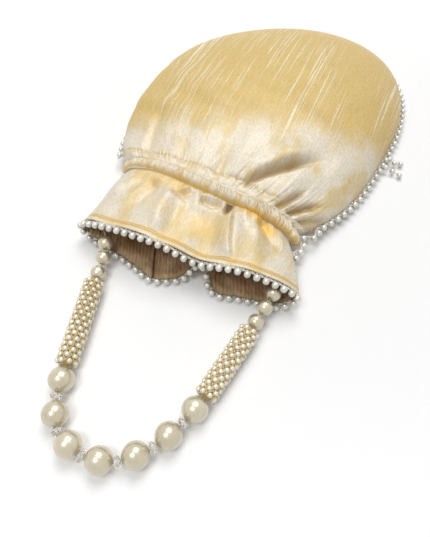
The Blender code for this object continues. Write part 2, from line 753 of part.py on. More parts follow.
def main():
    clear_scene()
    parts = bpy.data.collections.new(COLLECTION_NAME)
    bpy.context.scene.collection.children.link(parts)
    silk = make_material("dupion_silk", (0.88, 0.74, 0.47), 0.42)
    lining = make_material("lining_silk", (0.50, 0.36, 0.22), 0.55)
    elastic = make_material("elastic", (0.90, 0.88, 0.82), 0.8)
    trim = make_material("trim_pearl", (0.88, 0.85, 0.76), 0.2)
    pearl = make_material("handle_pearl", (0.86, 0.80, 0.66), 0.15)
    netting = make_material("pearl_netting", (0.88, 0.74, 0.50), 0.3)
    crystal = make_material("clear_crystal", (0.95, 0.93, 0.92), 0.02, transmission=0.9)
    thread = make_material("white_thread", (0.88, 0.86, 0.80), 0.6)
    make_front_panel(silk)
    make_back_panel(silk)
    make_lining(lining)
    make_casing(silk)
    make_elastic(elastic)
    make_trims(trim)
    make_handle(pearl, crystal, netting, thread)


main()
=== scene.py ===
"""Dresses the potli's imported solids: slubbed silk, crocheted pearl edgings and a handle of strung pearls.

Metres, +Z up, in the part's frame: the pouch lies on its back, +Y runs to its base and -Y to its mouth
and handle.
"""

import json
import logging
import math
from dataclasses import dataclass, field
from enum import Enum
from typing import Any, Sequence

import bpy
import numpy as np
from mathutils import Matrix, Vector

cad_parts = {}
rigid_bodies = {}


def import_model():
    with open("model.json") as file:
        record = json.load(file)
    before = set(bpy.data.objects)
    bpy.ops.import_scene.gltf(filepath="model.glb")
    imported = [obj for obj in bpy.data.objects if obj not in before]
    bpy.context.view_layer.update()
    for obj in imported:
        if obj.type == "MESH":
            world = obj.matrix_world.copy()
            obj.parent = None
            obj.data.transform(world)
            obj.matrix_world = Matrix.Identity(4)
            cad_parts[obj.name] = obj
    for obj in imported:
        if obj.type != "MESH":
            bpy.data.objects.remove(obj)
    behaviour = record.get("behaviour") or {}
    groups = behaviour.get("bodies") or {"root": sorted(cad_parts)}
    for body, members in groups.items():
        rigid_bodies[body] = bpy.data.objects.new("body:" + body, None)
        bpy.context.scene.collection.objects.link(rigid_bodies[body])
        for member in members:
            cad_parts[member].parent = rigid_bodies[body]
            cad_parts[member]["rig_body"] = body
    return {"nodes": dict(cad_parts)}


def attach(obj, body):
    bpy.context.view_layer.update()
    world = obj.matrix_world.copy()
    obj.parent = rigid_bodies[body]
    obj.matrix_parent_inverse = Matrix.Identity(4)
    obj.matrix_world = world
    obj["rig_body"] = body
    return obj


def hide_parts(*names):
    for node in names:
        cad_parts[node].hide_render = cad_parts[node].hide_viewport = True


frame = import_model()

Array = np.ndarray
Stops = Sequence[tuple[float, float]]
Colour = tuple[float, float, float]
Mesh = tuple[Array, Array]
Material, Object, Socket = bpy.types.Material, bpy.types.Object, bpy.types.NodeSocket
LOG = logging.getLogger("potli")
# Where a row of stitches crosses the shoulder, from the mouth's edge
STITCH_ROW = 0.0575
# Directions that no thread and no bead run along, from which their sections are turned
NEAR_UP = np.array([0.013, 0.021, 1.0])
BESIDE_BEADS = np.array([0.31, 0.17, 0.93])


class Side(Enum):
    """The two panels of the pouch."""

    FRONT = 1
    BACK = -1


# Small formulas


def ease(share: Array | float) -> Array:
    """Runs from 0 to 1 with a level start and end: 3s^2 - 2s^3 of the clipped share."""
    share = np.clip(share, 0.0, 1.0)
    return share * share * (3 - 2 * share)


def between(low: Array | float, high: Array | float, share: Array | float) -> Array:
    """The value that lies at a share of the way from low to high."""
    return low + (high - low) * share


def hump(distance: Array | float, width: Array | float) -> Array:
    """A bell of height 1: e to the power of -(distance / width)^2."""
    return np.exp(-((distance / width) ** 2))


def through(stops: Stops, x: Array | float) -> Array:
    """A smooth curve through stops, made of cubics whose slopes come from the neighbouring stops.

    Args:
        stops: (x, value) pairs in rising order of x.
        x: Where the curve is wanted.

    Returns:
        The curve's value at each x.
    """
    xs, ys = np.array(stops, float).T
    last = len(xs) - 1
    before, after = np.maximum(np.arange(last + 1) - 1, 0), np.minimum(np.arange(last + 1) + 1, last)
    slopes = (ys[after] - ys[before]) / (xs[after] - xs[before])
    x = np.asarray(x, float)
    i = np.clip(np.searchsorted(xs, x, side="right") - 1, 0, last - 1)
    width = xs[i + 1] - xs[i]
    t = np.clip((x - xs[i]) / width, 0.0, 1.0)
    return (ys[i] * (2 * t**3 - 3 * t**2 + 1) + slopes[i] * width * (t**3 - 2 * t**2 + t)
            + ys[i + 1] * (3 * t**2 - 2 * t**3) + slopes[i + 1] * width * (t**3 - t**2))


def unit(vectors: Array) -> Array:
    """The same directions with length 1."""
    return vectors / np.maximum(np.linalg.norm(vectors, axis=-1, keepdims=True), 1e-12)


def wander(x: Array, low: float, high: float, seed: int, waves: int = 6) -> Array:
    """An irregular wave about 0: a sum of cosines whose rates lie between low and high turns per unit of x.

    Args:
        x: Where the wave is wanted.
        low: The slowest rate, in turns per unit.
        high: The fastest rate.
        seed: Picks the rates and their starts.
        waves: How many cosines are added.

    Returns:
        The wave, mostly between -1 and 1.
    """
    dice = np.random.default_rng(seed)
    rates, starts = dice.uniform(low, high, waves), dice.uniform(0, 2 * math.pi, waves)
    return np.cos(2 * math.pi * x[..., None] * rates + starts).sum(axis=-1) * math.sqrt(2 / waves) * 0.6


def mottle(x: Array, y: Array, size: float, seed: int, waves: int = 9) -> Array:
    """Soft irregular patches: a sum of cosines along random directions.

    Args:
        x: Places across.
        y: Places along.
        size: About the length from crest to crest.
        seed: Picks the directions and their starts.
        waves: How many cosines are added.

    Returns:
        The patches' heights, mostly between -1 and 1.
    """
    dice = np.random.default_rng(seed)
    angles, starts = dice.uniform(0, math.pi, waves), dice.uniform(0, 2 * math.pi, waves)
    rates = 2 * math.pi / (size * dice.uniform(0.7, 1.6, waves))
    phases = (x[..., None] * np.cos(angles) + y[..., None] * np.sin(angles)) * rates + starts
    return np.cos(phases).sum(axis=-1) * math.sqrt(2 / waves) * 0.6


def puckers(phase: Array) -> Array:
    """Gathers with round crests and sharp valleys, between -1 and 1: the root of |cos|, spread about 0."""
    return 2.2 * np.sqrt(np.abs(np.cos(phase)) + 0.01) - 1.3


@dataclass(frozen=True)
class Fold:
    """A ridge or valley along a line on the cloth.

    Its height at a place is the crest's height times a bell of the distance to the line. The bell has one
    width on the line's left and another on its right. It rises from nothing at the line's start and dies away
    at its end, over the shares of the line that rise and fall give.
    """

    line: tuple[tuple[float, float], ...]
    height: float
    left: float
    right: float
    rise: float = 0.15
    fall: float = 0.5

    def at(self, x: Array, y: Array) -> Array:
        """The fold's height at places.

        Args:
            x: Places across.
            y: Places along.

        Returns:
            A height for each place.
        """
        points = np.array(self.line)
        start, step = points[:-1], np.diff(points, axis=0)
        length = np.linalg.norm(step, axis=1)
        run = np.concatenate([[0], np.cumsum(length)[:-1]]) / length.sum()
        px, py = x[..., None] - start[:, 0], y[..., None] - start[:, 1]
        t = np.clip((px * step[:, 0] + py * step[:, 1]) / length**2, 0, 1)
        gap = np.hypot(px - t * step[:, 0], py - t * step[:, 1])
        nearest = gap.argmin(axis=-1)[..., None]
        pick = lambda values: np.take_along_axis(values, nearest, axis=-1)[..., 0]
        on_left = pick(step[:, 0] * py - step[:, 1] * px) > 0
        along = pick(run + t * length / length.sum())
        ends = ease(along / self.rise) * ease((1 - along) / self.fall)
        return self.height * ends * hump(pick(gap), np.where(on_left, self.left, self.right))


# The shape of the pouch


@dataclass(frozen=True)
class PouchForm:
    """The pouch's shape and sizes, as its solids have them.

    A place on it is u, from -1 at the left seam to 1 at the right one, and v along it: 0 at the mouth, 1 at
    the neck, 2 at the widest line and 3 at the base.
    """

    body_half_width: float = 0.093
    base_reach: float = 0.1005
    shoulder_length: float = 0.110
    neck_half_width: float = 0.058
    neck_skew: float = 0.004
    ruffle_length: float = 0.0455
    mouth_half_width: float = 0.0715
    mouth_skew: float = 0.003
    rim_bow: float = 0.0045
    flare: float = 0.7
    fullness: float = 2.3
    shoulder_curve: float = 0.5
    straight: float = 0.036
    middle: Stops = (
        (-0.155, 0.0), (-0.110, -0.0072), (-0.060, -0.0045), (0.0, 0.0),
        (0.030, 0.0042), (0.060, 0.0105), (0.085, 0.0170), (0.1005, 0.0195),
    )
    body_height: float = 0.041
    neck_height: float = 0.028
    seam_height: float = 0.0065
    neck_seam_height: float = 0.010
    neck_back_lift: float = 0.0045
    crown_fullness: float = 2.5
    crown_curve: float = 0.55
    flat_share: float = 0.72
    overhang: float = 0.003
    tuck_in: float = 0.005
    tuck_end: float = 0.03
    tuck_fade: float = 0.06
    overhang_sharpness: float = 8.0
    lobe_lift: float = 0.018
    pinch_x: float = 0.011
    pinch_dip: float = 0.0075
    pinch_dip_width: float = 0.016
    pinch_rise: float = 0.0120
    pinch_width: float = 0.0065
    rim_lift: float = 0.0003
    back_reach: Stops = (
        (-0.0715, 0.0), (-0.065, 0.0022), (-0.039, 0.0083), (-0.027, 0.0118), (-0.016, 0.0155),
        (-0.006, 0.0128), (0.002, 0.0080), (0.0065, 0.0035), (0.0115, 0.0005), (0.016, 0.0030),
        (0.0200, 0.0080), (0.027, 0.0106), (0.036, 0.0088), (0.048, 0.0070), (0.062, 0.0050), (0.0715, 0.0),
    )
    back_edge_drop: float = 0.0014
    cloth: float = 0.0010
    seam_room: float = 0.0014
    clearance: float = 0.0004
    casing_half: float = 0.007
    casing_stand: float = 0.0053
    drawn_in: float = 0.4
    drawn_reach: float = 0.022

    def half_width(self, v: Array) -> Array:
        """Half the width between the seams: a power of v on the ruffle, and a swelling curve on the body.

        Args:
            v: Places along the pouch.

        Returns:
            The half widths.
        """
        ruffle = between(self.neck_half_width, self.mouth_half_width, np.clip(1 - v, 0, 1) ** self.flare)
        share = np.clip((np.clip(v - 1, 0, 1) - self.straight) / (1 - self.straight), 0, 1)
        swell = (1 - (1 - share) ** self.fullness) ** self.shoulder_curve
        return np.where(v <= 1, ruffle, between(self.neck_half_width, self.body_half_width, swell))

    def crown_share(self, rho: Array) -> Array:
        """1 on the middle of the panel and 0 at its seam."""
        return np.clip(1 - rho**self.crown_fullness, 0, 1) ** self.crown_curve

    def back_edge_share(self, rho: Array) -> Array:
        """0 where the back lies flat, rising with a square to 1 at the seam."""
        return (np.clip(rho - self.flat_share, 0, None) / (1 - self.flat_share)) ** 2

    def neck_y(self, u: Array) -> Array:
        """Where the neck's line lies."""
        return -self.shoulder_length - self.neck_skew * u

    def rim(self, side: Side, u: Array) -> tuple[Array, Array, Array]:
        """The edge of the mouth: an arch in front, and two lobes with a pinch between them behind.

        Args:
            side: The panel.
            u: Places across it.

        Returns:
            x, y and z of the edge.
        """
        x = self.mouth_half_width * u
        y = -self.shoulder_length - self.ruffle_length + self.mouth_skew * u
        if side is Side.FRONT:
            lift = self.lobe_lift * self.crown_share(np.abs(u))
            dip = self.pinch_dip * hump(x - self.pinch_x, self.pinch_dip_width)
            return x, y - self.rim_bow * (1 - u * u), self.neck_seam_height + lift - dip
        low = between(self.rim_lift, self.neck_seam_height, np.abs(u) ** 9)
        pinch = self.pinch_rise * hump(x - self.pinch_x, self.pinch_width)
        return x, y - through(self.back_reach, x), low + pinch

    def from_centre(self, u: Array, v: Array) -> Array:
        """How far out a place is: 0 on the middle line and 1 at the seam."""
        turn = np.clip(v - 2, 0, None) * math.pi / 2
        return np.minimum(np.hypot(u * np.cos(turn), np.sin(turn)), 1.0)

    def place(self, side: Side, u: Array, v: Array, hang: float = 1.0) -> Array:
        """Places on the outside of the pouch.

        Args:
            side: The panel.
            u: Places across it.
            v: Places along it.
            hang: 1 with the overhang of the left side, 0 without.

        Returns:
            The points, with x, y and z on the last axis.
        """
        u, v = np.broadcast_arrays(np.asarray(u, float), np.asarray(v, float))
        ruffle, body = self._ruffle(side, u, v), self._body(side, u, v, hang)
        points = np.where((v <= 1)[..., None], ruffle, body)
        if side is Side.BACK:
            rho = np.where(v <= 1, np.abs(u), self.from_centre(u, v))
            points[..., 2] = np.clip(points[..., 2] - self.back_edge_drop * rho**8, 0, None)
        return points

    def _ruffle(self, side: Side, u: Array, v: Array) -> Array:
        """Places between the rim and the neck: the height eases from one to the other.

        Args:
            side: The panel.
            u: Places across it.
            v: Places along it.

        Returns:
            The points, which are right where v is 1 or less.
        """
        _, rim_y, rim_z = self.rim(side, u)
        if side is Side.FRONT:
            neck_z = between(self.neck_seam_height, self.neck_height, self.crown_share(np.abs(u)))
        else:
            neck_z = between(self.neck_back_lift, self.neck_seam_height, self.back_edge_share(np.abs(u)))
        x = ease(v) * through(self.middle, -self.shoulder_length) + self.half_width(v) * u
        return np.stack([x, between(rim_y, self.neck_y(u), v), between(rim_z, neck_z, ease(v))], axis=-1)

    def _body(self, side: Side, u: Array, v: Array, hang: float) -> Array:
        """Places between the neck and the base: a crown over an outline that closes as an ellipse.

        Args:
            side: The panel.
            u: Places across it.
            v: Places along it.
            hang: 1 with the overhang of the left side, 0 without.

        Returns:
            The points, which are right where v is over 1.
        """
        turn = np.clip(v - 2, 0, None) * math.pi / 2
        rho = self.from_centre(u, v)
        x = self.half_width(np.clip(v, 1.000001, 2.0)) * u * np.cos(turn)
        y = np.where(v > 2, self.base_reach * np.sin(turn), between(self.neck_y(u), 0.0, v - 1))
        starts = ease((y + self.shoulder_length) / self.tuck_fade)
        tuck = starts * (1 - ease((y - self.tuck_end) / self.tuck_fade)) * (x <= 0)
        out = unit(np.stack([x, np.maximum(y, 0.0)], axis=-1))
        pull = -self.tuck_in * tuck * rho**4
        seam = between(self.neck_seam_height, self.seam_height, ease((v - 1) * 2))
        if side is Side.FRONT:
            crown = between(self.neck_height, self.body_height, ease((v - 1) * 1.25))
            z = seam + (crown - seam) * self.crown_share(rho)
            bulge = np.sin(math.pi * rho**self.overhang_sharpness)
            pull = pull + hang * (self.overhang + self.tuck_in) * tuck * bulge
        else:
            flat = self.neck_back_lift * (1 - ease((v - 1) * 4))
            z = between(flat, seam, self.back_edge_share(rho))
        x = through(self.middle, y) + x + out[..., 0] * pull
        return np.stack([x, y + out[..., 1] * pull, z], axis=-1)

    def round(self, share: Array, v: Array | float, hang: float = 1.0) -> Array:
        """Places round the pouch: over the front from the left seam, then back under it.

        Args:
            share: How far round, from -1 to 1, with the right seam at 0.
            v: Places along it.
            hang: 1 with the overhang of the left side, 0 without.

        Returns:
            The points.
        """
        share = (np.asarray(share, float) + 1) % 2 - 1
        front = self.place(Side.FRONT, 2 * share + 1, v, hang)
        back = self.place(Side.BACK, 1 - 2 * share, v, hang)
        return np.where((share <= 0)[..., None], front, back)

    def neck_ring(self, share: Array, along: Array, lift: Array) -> Array:
        """Places round the outside of the neck, lifted off square to its section.

        Args:
            share: Places round the neck, from -1 to 1.
            along: Lengths from the neck's middle line, the body's side being positive.
            lift: Heights over the panels.

        Returns:
            The points.
        """
        v = 1 + along / np.where(along > 0, self.shoulder_length, self.ruffle_length)
        point = self.round(share, v)
        across = self.round(share + 0.01, v) - self.round(share - 0.01, v)
        left, right = self.round(np.full_like(share, -1.0), v), self.round(np.zeros_like(share), v)
        centre = (left[..., 0] + right[..., 0]) / 2
        off = point[..., 0] - centre
        room = np.copysign(self.seam_room * np.minimum(np.abs(off) / self.half_width(v), 1.0) ** 12, off)
        out = unit(np.cross(across, np.array([0.0, 1.0, 0.0])))
        return point + out * lift[..., None] + np.stack([room, 0 * room, 0 * room], axis=-1)

    def flat_across(self, side: Side, u: Array, v: Array) -> Array:
        """Lengths across the cloth as it was cut: x on the body, and wider at the neck, where it is drawn in.

        Args:
            side: The panel.
            u: Places across it.
            v: Places along it.

        Returns:
            The lengths from the middle.
        """
        x = self.place(side, u, v, 0.0)[..., 0]
        neck = hump((v - 1) * self.shoulder_length, self.drawn_reach)
        return x * (1 + self.drawn_in * neck)

    def flat_along(self, u: Array, v: Array) -> Array:
        """Lengths along the cloth from the mouth's edge.

        Args:
            u: Places across it.
            v: Places along it.

        Returns:
            The lengths.
        """
        turn = np.clip(v - 2, 0, None) * math.pi / 2
        y = np.where(v > 2, self.base_reach * np.sin(turn), between(self.neck_y(u), 0.0, v - 1))
        return np.where(v <= 1, v * self.ruffle_length, self.ruffle_length + y - self.neck_y(u))


@dataclass(frozen=True)
class Drape:
    """How the silk falls: the puffs, creases and gathers that the drawn neck throws into the front panel."""

    form: PouchForm
    folds: tuple[Fold, ...] = (
        # the big puff right of the middle and the valley under it
        Fold(((0.0140, -0.1035), (0.0165, -0.0930), (0.0225, -0.0820), (0.0330, -0.0715), (0.0470, -0.0620),
              (0.0590, -0.0560)),
             height=0.0048, left=0.0150, right=0.0062, rise=0.10, fall=0.40),
        Fold(((0.0165, -0.1045), (0.0190, -0.0966), (0.0255, -0.0885), (0.0345, -0.0803), (0.0440, -0.0715),
              (0.0560, -0.0600)),
             height=-0.0046, left=0.0046, right=0.0017, rise=0.12, fall=0.40),
        Fold(((0.0290, -0.1030), (0.0350, -0.0930), (0.0420, -0.0850), (0.0510, -0.0745),
              (0.0620, -0.0640)),
             height=0.0022, left=0.0060, right=0.0085, rise=0.15, fall=0.55),
        Fold(((0.0095, -0.1010), (0.0122, -0.0915), (0.0160, -0.0800)),
             height=-0.0022, left=0.0012, right=0.0030, rise=0.10, fall=0.60),
        # pleats that fan out from the right end of the gathered neck
        Fold(((0.0395, -0.1075), (0.0436, -0.1010), (0.0490, -0.0930), (0.0545, -0.0850)),
             height=-0.0042, left=0.0024, right=0.0012, rise=0.10, fall=0.45),
        Fold(((0.0465, -0.1080), (0.0530, -0.1010), (0.0600, -0.0945), (0.0680, -0.0875)),
             height=-0.0050, left=0.0026, right=0.0012, rise=0.10, fall=0.40),
        Fold(((0.0500, -0.1085), (0.0575, -0.1035), (0.0650, -0.0975), (0.0720, -0.0900)),
             height=0.0022, left=0.0020, right=0.0020, rise=0.10, fall=0.60),
        Fold(((0.0525, -0.1100), (0.0600, -0.1040), (0.0670, -0.0975), (0.0740, -0.0900)),
             height=-0.0044, left=0.0024, right=0.0012, rise=0.10, fall=0.45),
        # soft hollows on the left shoulder
        Fold(((-0.0570, -0.1010), (-0.0600, -0.0850), (-0.0640, -0.0640), (-0.0660, -0.0480)),
             height=-0.0024, left=0.0040, right=0.0060, rise=0.20, fall=0.60),
        Fold(((-0.0300, -0.1020), (-0.0330, -0.0880), (-0.0340, -0.0700)),
             height=-0.0018, left=0.0035, right=0.0050, rise=0.20, fall=0.70),
        Fold(((-0.0060, -0.1020), (-0.0040, -0.0880), (-0.0010, -0.0740)),
             height=-0.0022, left=0.0030, right=0.0060, rise=0.20, fall=0.70),
        # the ruffle: the crease under the neck, the ridge from it to the edge, and the puff at its right
        Fold(((0.0138, -0.1150), (0.0128, -0.1215), (0.0150, -0.1300)),
             height=-0.0050, left=0.0024, right=0.0016, rise=0.10, fall=0.50),
        Fold(((0.0150, -0.1190), (0.0178, -0.1290), (0.0222, -0.1420), (0.0290, -0.1560)),
             height=0.0038, left=0.0018, right=0.0064, rise=0.20, fall=0.20),
        Fold(((0.0180, -0.1180), (0.0330, -0.1310), (0.0480, -0.1450)),
             height=0.0040, left=0.0080, right=0.0070, rise=0.20, fall=0.50),
        Fold(((0.0330, -0.1190), (0.0430, -0.1270), (0.0540, -0.1360)),
             height=-0.0040, left=0.0032, right=0.0050, rise=0.20, fall=0.50),
        # the eye-shaped fold left of it
        Fold(((-0.0075, -0.1205), (-0.0010, -0.1180), (0.0085, -0.1160)),
             height=0.0018, left=0.0022, right=0.0020, rise=0.20, fall=0.30),
        Fold(((-0.0055, -0.1225), (0.0035, -0.1235), (0.0095, -0.1185)),
             height=-0.0034, left=0.0020, right=0.0026, rise=0.20, fall=0.25),
        Fold(((-0.0060, -0.1250), (0.0030, -0.1275), (0.0110, -0.1240)),
             height=0.0014, left=0.0024, right=0.0044, rise=0.25, fall=0.30),
        Fold(((-0.0130, -0.1165), (-0.0190, -0.1200), (-0.0270, -0.1225)),
             height=0.0017, left=0.0016, right=0.0026, rise=0.20, fall=0.50),
        Fold(((-0.0100, -0.1180), (-0.0150, -0.1225), (-0.0230, -0.1265)),
             height=-0.0020, left=0.0018, right=0.0026, rise=0.20, fall=0.50),
        # broad soft waves over the ruffle's left half
        Fold(((-0.0200, -0.1180), (-0.0240, -0.1290), (-0.0220, -0.1440), (-0.0170, -0.1580)),
             height=0.0034, left=0.0060, right=0.0048, rise=0.25, fall=0.25),
        Fold(((-0.0370, -0.1170), (-0.0400, -0.1290), (-0.0440, -0.1450)),
             height=-0.0036, left=0.0060, right=0.0042, rise=0.20, fall=0.40),
        Fold(((-0.0530, -0.1160), (-0.0580, -0.1270), (-0.0620, -0.1440)),
             height=0.0028, left=0.0045, right=0.0045, rise=0.20, fall=0.40),
        Fold(((-0.0270, -0.1190), (-0.0160, -0.1235), (-0.0080, -0.1300)),
             height=-0.0024, left=0.0030, right=0.0030, rise=0.25, fall=0.50),
    )
    # Lines along which light caught between folds is painted a deep yellow; each height is the painted glow's
    # strength
    painted_glows: tuple[Fold, ...] = (
        Fold(((-0.0600, -0.1140), (-0.0525, -0.1145), (-0.0317, -0.1175), (-0.0080, -0.1190)),
             height=0.68, left=0.0035, right=0.0050, rise=0.15, fall=0.25),
        Fold(((0.0170, -0.1170), (0.0300, -0.1195), (0.0420, -0.1225), (0.0500, -0.1260)),
             height=1.0, left=0.0040, right=0.0050, rise=0.20, fall=0.25),
        Fold(((-0.0020, -0.1290), (0.0060, -0.1400), (0.0100, -0.1500)),
             height=0.55, left=0.0080, right=0.0080, rise=0.30, fall=0.40),
        Fold(((-0.0380, -0.1330), (-0.0200, -0.1400), (-0.0080, -0.1460)),
             height=0.30, left=0.0060, right=0.0060, rise=0.30, fall=0.40),
        Fold(((0.0160, -0.0960), (0.0240, -0.0890), (0.0350, -0.0800), (0.0450, -0.0720)),
             height=0.15, left=0.0030, right=0.0050, rise=0.20, fall=0.50),
    )
    # The border between the golden silk and the pale cream of painted sheen nearer the neck
    gold_line: Stops = (
        (-0.095, -0.077), (-0.050, -0.068), (-0.012, -0.056), (0.021, -0.048),
        (0.052, -0.041), (0.073, -0.033), (0.100, -0.022),
    )

    # Heights of the gathers next to the neck, of the crumple by it and of the ruffle's slow waves
    fine_height: float = 0.00055
    fine_gathers: int = 23
    broad_height: float = 0.0011
    crumple_height: float = 0.0007
    crumple_size: float = 0.026
    wave_height: float = 0.0007
    # A valley deeper and narrower than this is a crease, which gets painted shade
    sharp_depth: float = 0.004
    sharp_width: float = 0.0022

    def _taper(self, u: Array, v: Array) -> Array:
        """1 over the cloth, and 0 at its seams and base."""
        return 1 - np.where(v <= 1, np.abs(u) ** 8, self.form.from_centre(u, v) ** 10)

    def folds_at(self, u: Array, v: Array, points: Array) -> Array:
        """How far the front panel stands off its plain shape: folds, and gathers that fade from the neck.

        Args:
            u: Places across the cloth.
            v: Places along it.
            points: The plain shape's points.

        Returns:
            Heights, square to the cloth.
        """
        x, y = points[..., 0], points[..., 1]
        along = np.where(v > 1, (v - 1) * self.form.shoulder_length, (v - 1) * self.form.ruffle_length)
        rise = sum(fold.at(x, y) for fold in self.folds)
        drawn = 0.45 + 0.55 * ease((u - 0.25) / 0.4) + 0.25 * hump(u - 0.22, 0.12)
        fine = puckers(math.pi * self.fine_gathers * u + 1.6 * wander(u, 1.5, 4.0, 3))
        broad = wander(u, 5.0, 11.0, 5)
        reach = np.abs(along)
        fine_reach = np.where(along > 0, 0.012 + 0.010 * drawn, 0.010)
        rise = rise + self.fine_height * drawn * fine * hump(reach, fine_reach)
        rise = rise + self.broad_height * drawn * broad * hump(reach, np.where(along > 0, 0.026, 0.018))
        crumple = mottle(x, y, self.crumple_size, 8)
        rise = rise + self.crumple_height * crumple * (1 - ease((y + 0.02) / 0.05))
        rise = rise + self.wave_height * wander(u, 1.5, 3.5, 12) * np.where(v <= 1, ease(1 - v), 0.0)
        under_casing = ease((reach - 0.0035) / 0.0050)
        return rise * self._taper(u, v) * between(0.10, 1.0, under_casing)

    def gold(self, points: Array) -> Array:
        """Where the silk is golden; nearer the neck it is painted pale cream as sheen, with a soft border
        that wanders.

        Args:
            points: Places on the pouch.

        Returns:
            0 where the painted sheen makes it pale and 1 where it is golden.
        """
        x, y = points[..., 0], points[..., 1]
        border = through(self.gold_line, x) + 0.004 * mottle(x, y, 0.025, 21)
        return ease((y - border) / 0.033 + 0.5)

    def glow(self, points: Array, rise: Array) -> Array:
        """Where light caught between folds is painted a deep yellow: along the painted glows, and in valleys.

        Args:
            points: Places on the pouch.
            rise: The folds' heights there.

        Returns:
            0 where it isn't and 1 where it is.
        """
        x, y = points[..., 0], points[..., 1]
        painted_caught_light = sum(fold.at(x, y) for fold in self.painted_glows)
        return np.clip(painted_caught_light + np.clip(-rise / 0.0065, 0, 1) * 0.45, 0, 1)

    def crease(self, points: Array) -> Array:
        """How far a place lies in one of the sharp creases, where shade is painted: the silk is darker at the
        bottom of each.

        Args:
            points: Places on the pouch.

        Returns:
            0 outside them and 1 at the bottom of one.
        """
        x, y = points[..., 0], points[..., 1]
        sharp = [fold for fold in self.folds
                 if fold.height < -self.sharp_depth and min(fold.left, fold.right) < self.sharp_width]
        return np.clip(-sum(fold.at(x, y) for fold in sharp) / 0.0045, 0, 1)


# Mesh making


def new_piece(name: str, points: Array, corners: Array, counts: Array, paint: Material,
              uv: Array | None = None, values: dict[str, Array] | None = None,
              smooth: bool = True) -> Object:
    """Makes an object from whole arrays.

    Args:
        name: The piece's name.
        points: Vertices, (n, 3).
        corners: The faces' vertex numbers, one face after the other.
        counts: How many corners each face has.
        paint: Its material.
        uv: A place on the cloth for each corner, (corners, 2), in metres.
        values: Named numbers for each vertex.
        smooth: Whether its faces are shaded smoothly.

    Returns:
        The object, in the scene at the origin.
    """
    mesh = bpy.data.meshes.new(name)
    mesh.vertices.add(len(points))
    mesh.vertices.foreach_set("co", points.astype(np.float32).ravel())
    mesh.loops.add(len(corners))
    mesh.loops.foreach_set("vertex_index", corners.astype(np.int32))
    mesh.polygons.add(len(counts))
    mesh.polygons.foreach_set("loop_start", np.concatenate([[0], np.cumsum(counts)[:-1]]).astype(np.int32))
    mesh.polygons.foreach_set("use_smooth", np.full(len(counts), smooth))
    mesh.update(calc_edges=True)
    if uv is not None:
        mesh.uv_layers.new(name="cloth").data.foreach_set("uv", uv.astype(np.float32).ravel())
    for key, numbers in (values or {}).items():
        layer = mesh.attributes.new(key, "FLOAT", "POINT")
        layer.data.foreach_set("value", numbers.astype(np.float32).ravel())
    mesh.materials.append(paint)
    piece = bpy.data.objects.new(name, mesh)
    bpy.context.scene.collection.objects.link(piece)
    return piece


@dataclass
class Grid:
    """A sheet of points in rows and columns that becomes a mesh of quads."""

    points: Array
    closed: bool = False
    pole: bool = False
    flipped: bool = False
    uv: Array | None = None
    values: dict[str, Array] = field(default_factory=dict)

    def make(self, name: str, paint: Material) -> Object:
        """Joins neighbouring points to faces.

        A closed grid joins its last column to its first. A grid with a pole brings its last row together in
        one point.

        Args:
            name: The piece's name.
            paint: Its material.

        Returns:
            The object.
        """
        rows, columns = self.points.shape[:2]
        width = columns if self.closed else columns - 1
        full = rows - 1 if self.pole else rows
        number = np.arange(rows * columns).reshape(rows, columns)
        if self.pole:
            number[-1] = full * columns
        r, c = (a.ravel() for a in np.meshgrid(np.arange(full - 1), np.arange(width), indexing="ij"))
        quad_rows, quad_cols = np.stack([r, r, r + 1, r + 1], 1), np.stack([c, c + 1, c + 1, c], 1)
        cap_rows, cap_cols = np.full(width, full - 1), np.arange(width)
        tri_rows = np.stack([cap_rows, cap_rows, cap_rows + 1], 1)
        tri_cols = np.stack([cap_cols, cap_cols + 1, cap_cols], 1)
        if self.flipped:
            quad_rows, quad_cols = quad_rows[:, ::-1], quad_cols[:, ::-1]
            tri_rows, tri_cols = tri_rows[:, ::-1], tri_cols[:, ::-1]
        all_rows, all_cols, counts = quad_rows.ravel(), quad_cols.ravel(), np.full(len(quad_rows), 4)
        if self.pole:
            all_rows = np.concatenate([all_rows, tri_rows.ravel()])
            all_cols = np.concatenate([all_cols, tri_cols.ravel()])
            counts = np.concatenate([counts, np.full(width, 3)])
        corners = number[all_rows, all_cols % columns]
        used = full * columns + (1 if self.pole else 0)
        uv = None if self.uv is None else self.uv[all_rows, np.minimum(all_cols, self.uv.shape[1] - 1)]
        values = {key: numbers.reshape(-1)[:used] for key, numbers in self.values.items()}
        return new_piece(name, self.points.reshape(-1, 3)[:used], corners, counts, paint, uv, values)


def outward(points: Array, closed: bool = False) -> Array:
    """Directions square to a grid of points: the cross product of its steps along columns and rows.

    Args:
        points: The grid, (rows, columns, 3).
        closed: Whether its last column joins its first.

    Returns:
        A direction of length 1 for each point.
    """
    if closed:
        across = np.roll(points, -1, axis=1) - np.roll(points, 1, axis=1)
    else:
        across = np.gradient(points, axis=1)
    return unit(np.cross(across, np.gradient(points, axis=0)))


def many(piece: Mesh, centres: Array, sizes: Array | float) -> Mesh:
    """Copies one small shape to many places, as one set of points and triangles.

    Args:
        piece: The shape's points and triangles.
        centres: Where the copies go, (n, 3).
        sizes: Each copy's scale.

    Returns:
        The points and the triangles of all copies.
    """
    points, faces = piece
    sizes = np.broadcast_to(np.asarray(sizes, float), len(centres))
    copies = points[None] * sizes[:, None, None] + centres[:, None]
    numbers = faces[None] + (np.arange(len(centres)) * len(points))[:, None, None]
    return copies.reshape(-1, 3), numbers.reshape(-1, faces.shape[1])


